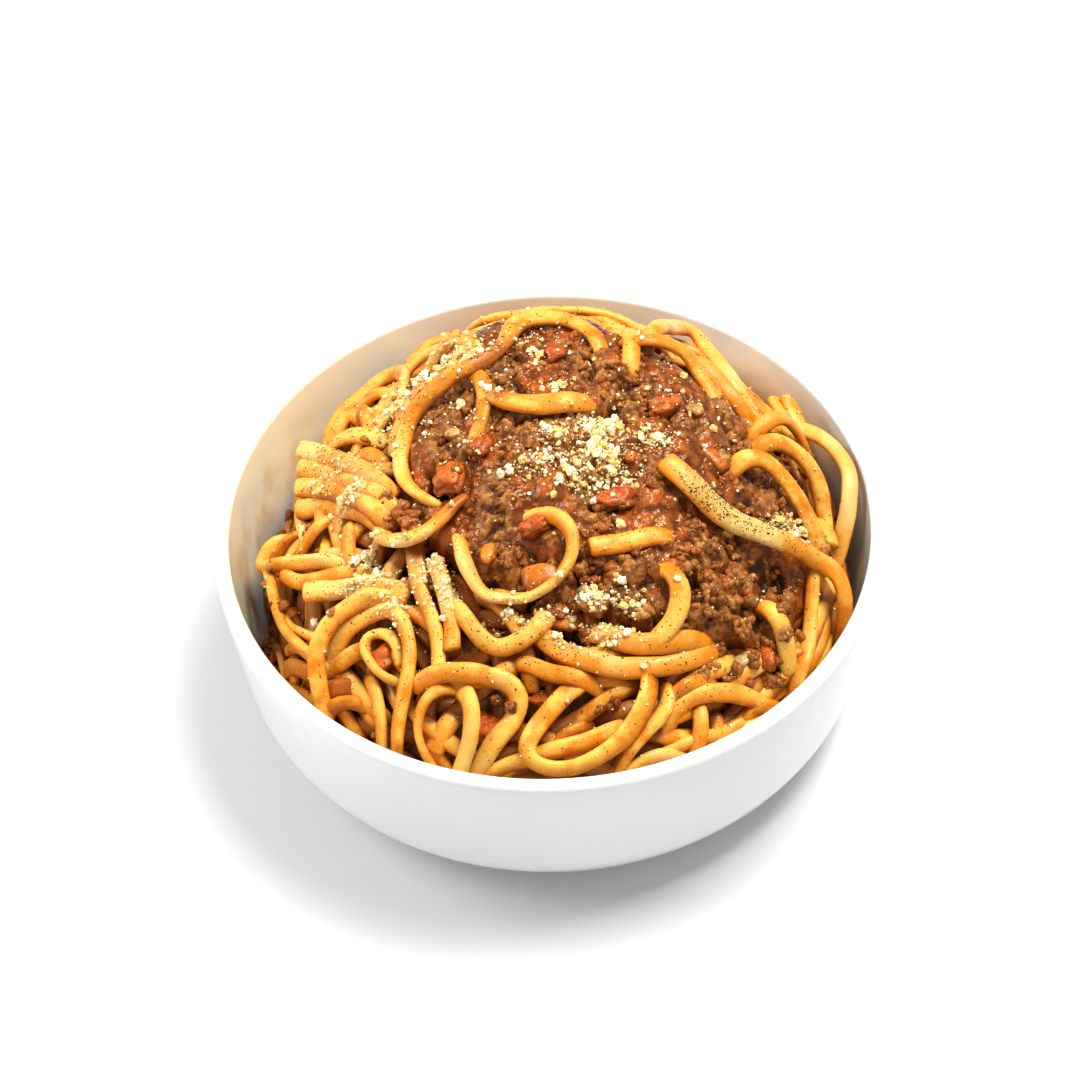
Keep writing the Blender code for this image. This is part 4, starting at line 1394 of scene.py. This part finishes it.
# Mince between the strands outside the sauce: place in plan and radius.
CLUMPS = (
    ((-54, 1), 2.6), ((-50, -24), 2.4), ((-55, -19), 2.2), ((-60, -18), 2.4), ((-62, -3), 2.6),
    ((-62, -8), 2.2), ((-61, 5), 2.4), ((-30, -25), 1.8), ((12, -54), 2.0), ((9, -55), 1.6),
    ((47, -44), 2.0), ((-12, -52), 2.0), ((-9, -55), 1.8), ((58, 10), 2.4), ((55, 13), 2.0),
    ((60, -12), 2.2), ((-40, 15), 1.8), ((-47, -30), 1.6), ((-63, -12), 2.0), ((-41, -17), 2.4),
    ((46, -41), 2.4), ((31, -47), 2.0), ((-62, 12), 2.8), ((-61, 18), 2.4), ((-63, 5), 2.6),
    ((-65, -8), 2.4), ((-65, -13), 2.6), ((-63, -19), 2.2), ((-35, -6), 2.0), ((-34, -11), 2.4),
    ((-30, -11), 3.4), ((-64, -17), 2.4), ((-62, -22), 2.0), ((-60, -31), 1.8), ((35, -41), 2.2),
    ((38, -44), 2.6), ((42, -42), 2.4), ((45, -38), 2.4), ((33, -45), 1.8), ((41, -46), 2.0),
    ((49, -38), 2.2), ((48, -33), 2.4), ((19, 17), 1.8), ((14, 20), 1.6), ((30, -20), 1.8),
    ((18, -27), 1.6), ((-31, -9), 2.4), ((-30, -14), 2.2), ((-27, -6), 1.6), ((-22, -1), 2.0),
    ((-19, -5), 1.6), ((27, 12), 1.8), ((24, 9), 1.6), ((16, -17), 1.6), ((-27, 24), 1.8),
    ((-24, 21), 1.4), ((40, -39), 2.2), ((36, -46), 1.8),
)


def wetness(plan):
    """How runny the sauce is at places in plan, from 0 where mince crowds it to 1."""
    return np.clip(0.5 + 1.3 * layered(on_floor(plan), 11.0, 2, 11), 0, 1)


def sauce_level(plan):
    """Height of the sauce: lumps of mince with granules on them, smoother where it is wet."""
    flat = on_floor(plan)
    wet = wetness(plan)
    lumps = granules(plan, 5.6, 21) + 0.45 * granules(plan, 2.9, 22)
    fine = granules(plan, 1.6, 23) + 0.45 * noise(flat, 1.0, 24)
    level = at(smooth_goal, plan) - SAUCE_DEPTH + 1.3 * layered(flat, 15.0, 2, 5)
    level = level + (2.6 - 1.5 * wet) * (lumps - 0.8) + (0.85 - 0.5 * wet) * fine
    for spots, rise in ((HOLLOWS, -1.0), (LUMPS, 0.6)):
        for middle, size, depth in spots:
            away = np.linalg.norm(plan - middle, axis=1) * (1 + 0.25 * noise(flat, 3.5, 31)) / size
            level = level + rise * depth * np.exp(-(away**3))
    return level - 9.0 * (1 - at(in_sauce, plan)) ** 2


# ---- The whole of the food, from the bottom up ----


def lay_meat(lumps, crumbs):
    """Mince on the sauce: the lumps of the photo, then more at random where the sauce is dry."""
    for place, radius, _ in LUMPS:
        add_mince(lumps, np.array(place, float), radius, 0.3)
    dry = in_sauce * (1 - 0.6 * wetness(GRID).reshape(GRID_X.shape))
    scatter_meat(lumps, count=50, mask=dry, sizes=(1.8, 3.0), sink=0.38, least=0.35)
    scatter_meat(crumbs, count=270, mask=dry, sizes=(0.6, 1.6), sink=0.35)


def lay_upper_strands():
    """The strands with routes of their own, then random ones behind the crest and in gaps round the sauce."""
    upper = []
    for settings in ROUTES:
        strand = Strand(**settings)
        strand.rest(lowest=0.2)
        strand.press_in()
        upper.append(strand)
    outside = (in_sauce < 0.4) * 1.0
    crest = 24 + 0.12 * np.abs(GRID_X)
    behind = np.where(GRID_Y > crest, 1.0, 0.0) * outside
    fill(upper, wanted=40, tries=900, depth=-1.2, allowed=behind, dive=5.0)
    short = {"lengths": (20, 60), "stains": (0.1, 0.6)}
    fill(upper, wanted=60, tries=1500, depth=1.6, allowed=outside, dive=5.0, **short)
    return upper


def make_food():
    """Lays all the food, and makes the pieces once the map of the pile is finished."""
    linguine, meat = linguine_material(), meat_material()
    make_core(core_material())

    lower = []
    everywhere = np.where(inside, 1.0, 0.0)
    bare = np.where(inside & (in_sauce < 0.3), 1.0, 0.0)
    fill(lower, wanted=160, tries=3000, depth=UNDER_DEPTH, allowed=everywhere, dive=4.0)
    fill(lower, wanted=90, tries=2200, depth=UNDER_DEPTH, allowed=bare, dive=4.0, lengths=(18, 50))

    sheet, level = make_sauce_sheet(sauce_material())
    pile[:] = np.maximum(pile, np.where(in_sauce > SAUCE_EDGE, level, 0))
    materials = vegetable_materials()
    vegetables = make_vegetables(materials)
    lumps, crumbs = Shape(), Shape()
    lay_meat(lumps, crumbs)
    bits = lay_bits()
    upper = lay_upper_strands()
    raise_to_shapes(vegetables)
    for place, radius in CLUMPS:
        add_mince(lumps, np.array(place, float), radius, 0.3)
    scatter_meat(crumbs, count=85, mask=0.3 + in_sauce, sizes=(0.6, 1.2), sink=0.35, lowest=1.5)

    blurred_pile["near"], blurred_pile["wide"] = blurred(pile, 1.6), blurred(pile, 4.0)
    dusting["herbs"], dusting["cheese"] = thickness_of(HERB_HEAPS), thickness_of(CHEESE_HEAPS)
    under, top = Shape(), Shape()
    for strand in lower:
        strand.mesh(under, UNDER_SIDES)
    for strand in upper:
        strand.mesh(top, TOP_SIDES)

    surface = Surface(sheet, under, lumps, crumbs, top, *vegetables, *bits.values())
    for kind, shape in bits.items():
        shape.make(kind + "_bits", materials[kind], kind)
    under.make("linguine_under", linguine, "linguine", ["linguine_heap"])
    top.make("linguine_top", linguine, "linguine")
    lumps.make("minced_meat", meat, "meat_sauce")
    crumbs.make("meat_crumbs", meat, "meat_sauce")
    tones = (0.84, 0.58, 0.16), (0.95, 0.90, 0.64)
    pale = soft_material("cheese", *tones, roughness=0.5, relief=0.05, size=0.8, coat=0.05, sauced=False)
    make_cheese(surface, pale)
    make_herbs(surface, herb_material())


# ---- Stage, lights and camera ----

FOOD_MIDDLE = (0.0, 0.0, 0.05)


def make_stage():
    """A plain pale floor."""
    m = Material("floor", 0.6)
    m.set("Base Color", m.mix(m.noise(300.0), (0.70, 0.70, 0.70), (0.72, 0.72, 0.72)))
    mesh = bpy.data.meshes.new("floor")
    half = 3.0
    corners = [(-half, -half, 0), (half, -half, 0), (half, half, 0), (-half, half, 0)]
    mesh.from_pydata(corners, [], [(0, 1, 2, 3)])
    mesh.materials.append(m.material)
    floor = bpy.data.objects.new("floor", mesh)
    bpy.context.scene.collection.objects.link(floor)


def add_light(name, place, size, power):
    """A soft rectangular light that aims at the food, in metres and watts."""
    data = bpy.data.lights.new(name, "AREA")
    data.shape = "RECTANGLE"
    data.size, data.size_y = size
    data.energy = power
    light = bpy.data.objects.new(name, data)
    light.location = place
    light.rotation_euler = (Vector(FOOD_MIDDLE) - Vector(place)).to_track_quat("-Z", "Y").to_euler()
    bpy.context.scene.collection.objects.link(light)


def make_lights():
    """White surroundings, a key light from above, a fill light from the left and a weak one in front."""
    world = bpy.data.worlds.new("studio")
    world.use_nodes = True
    world.node_tree.nodes["Background"].inputs["Color"].default_value = (1.0, 1.0, 1.0, 1.0)
    world.node_tree.nodes["Background"].inputs["Strength"].default_value = 0.40
    bpy.context.scene.world = world
    bpy.context.scene.view_settings.view_transform = "Standard"
    add_light("key", (0.26, 0.13, 0.82), (0.35, 0.35), 9.4)
    add_light("fill", (-0.6, 0.10, 0.5), (0.4, 0.4), 4.0)
    add_light("front", (0.0, -0.7, 0.62), (0.6, 0.4), 0.8)


def make_camera():
    """At the photo's angle: distance, elevation, aim, roll and lens were fitted to the rim and the bowl."""
    distance, elevation, roll = 0.450, math.radians(48.09), math.radians(-2.56)
    rim = Vector((0, 0, BOWL_HEIGHT * MM))
    place = rim + distance * Vector((0, -math.cos(elevation), math.sin(elevation)))
    aim = rim + Vector((-0.00214, 0, -0.01021))
    back = (place - aim).normalized()
    right = Vector((0, 0, 1)).cross(back).normalized()
    up = back.cross(right)
    rolled_right = math.cos(roll) * right + math.sin(roll) * up
    rolled_up = -math.sin(roll) * right + math.cos(roll) * up
    data = bpy.data.cameras.new("camera")
    data.lens, data.sensor_width = 67.02, 36.0
    camera = bpy.data.objects.new("camera", data)
    turn = Matrix((rolled_right, rolled_up, back)).transposed()
    camera.matrix_world = Matrix.LocRotScale(place, turn, None)
    bpy.context.scene.collection.objects.link(camera)
    bpy.context.scene.camera = camera


make_camera()
make_lights()
make_stage()
make_bowl(glaze_material())
make_food()
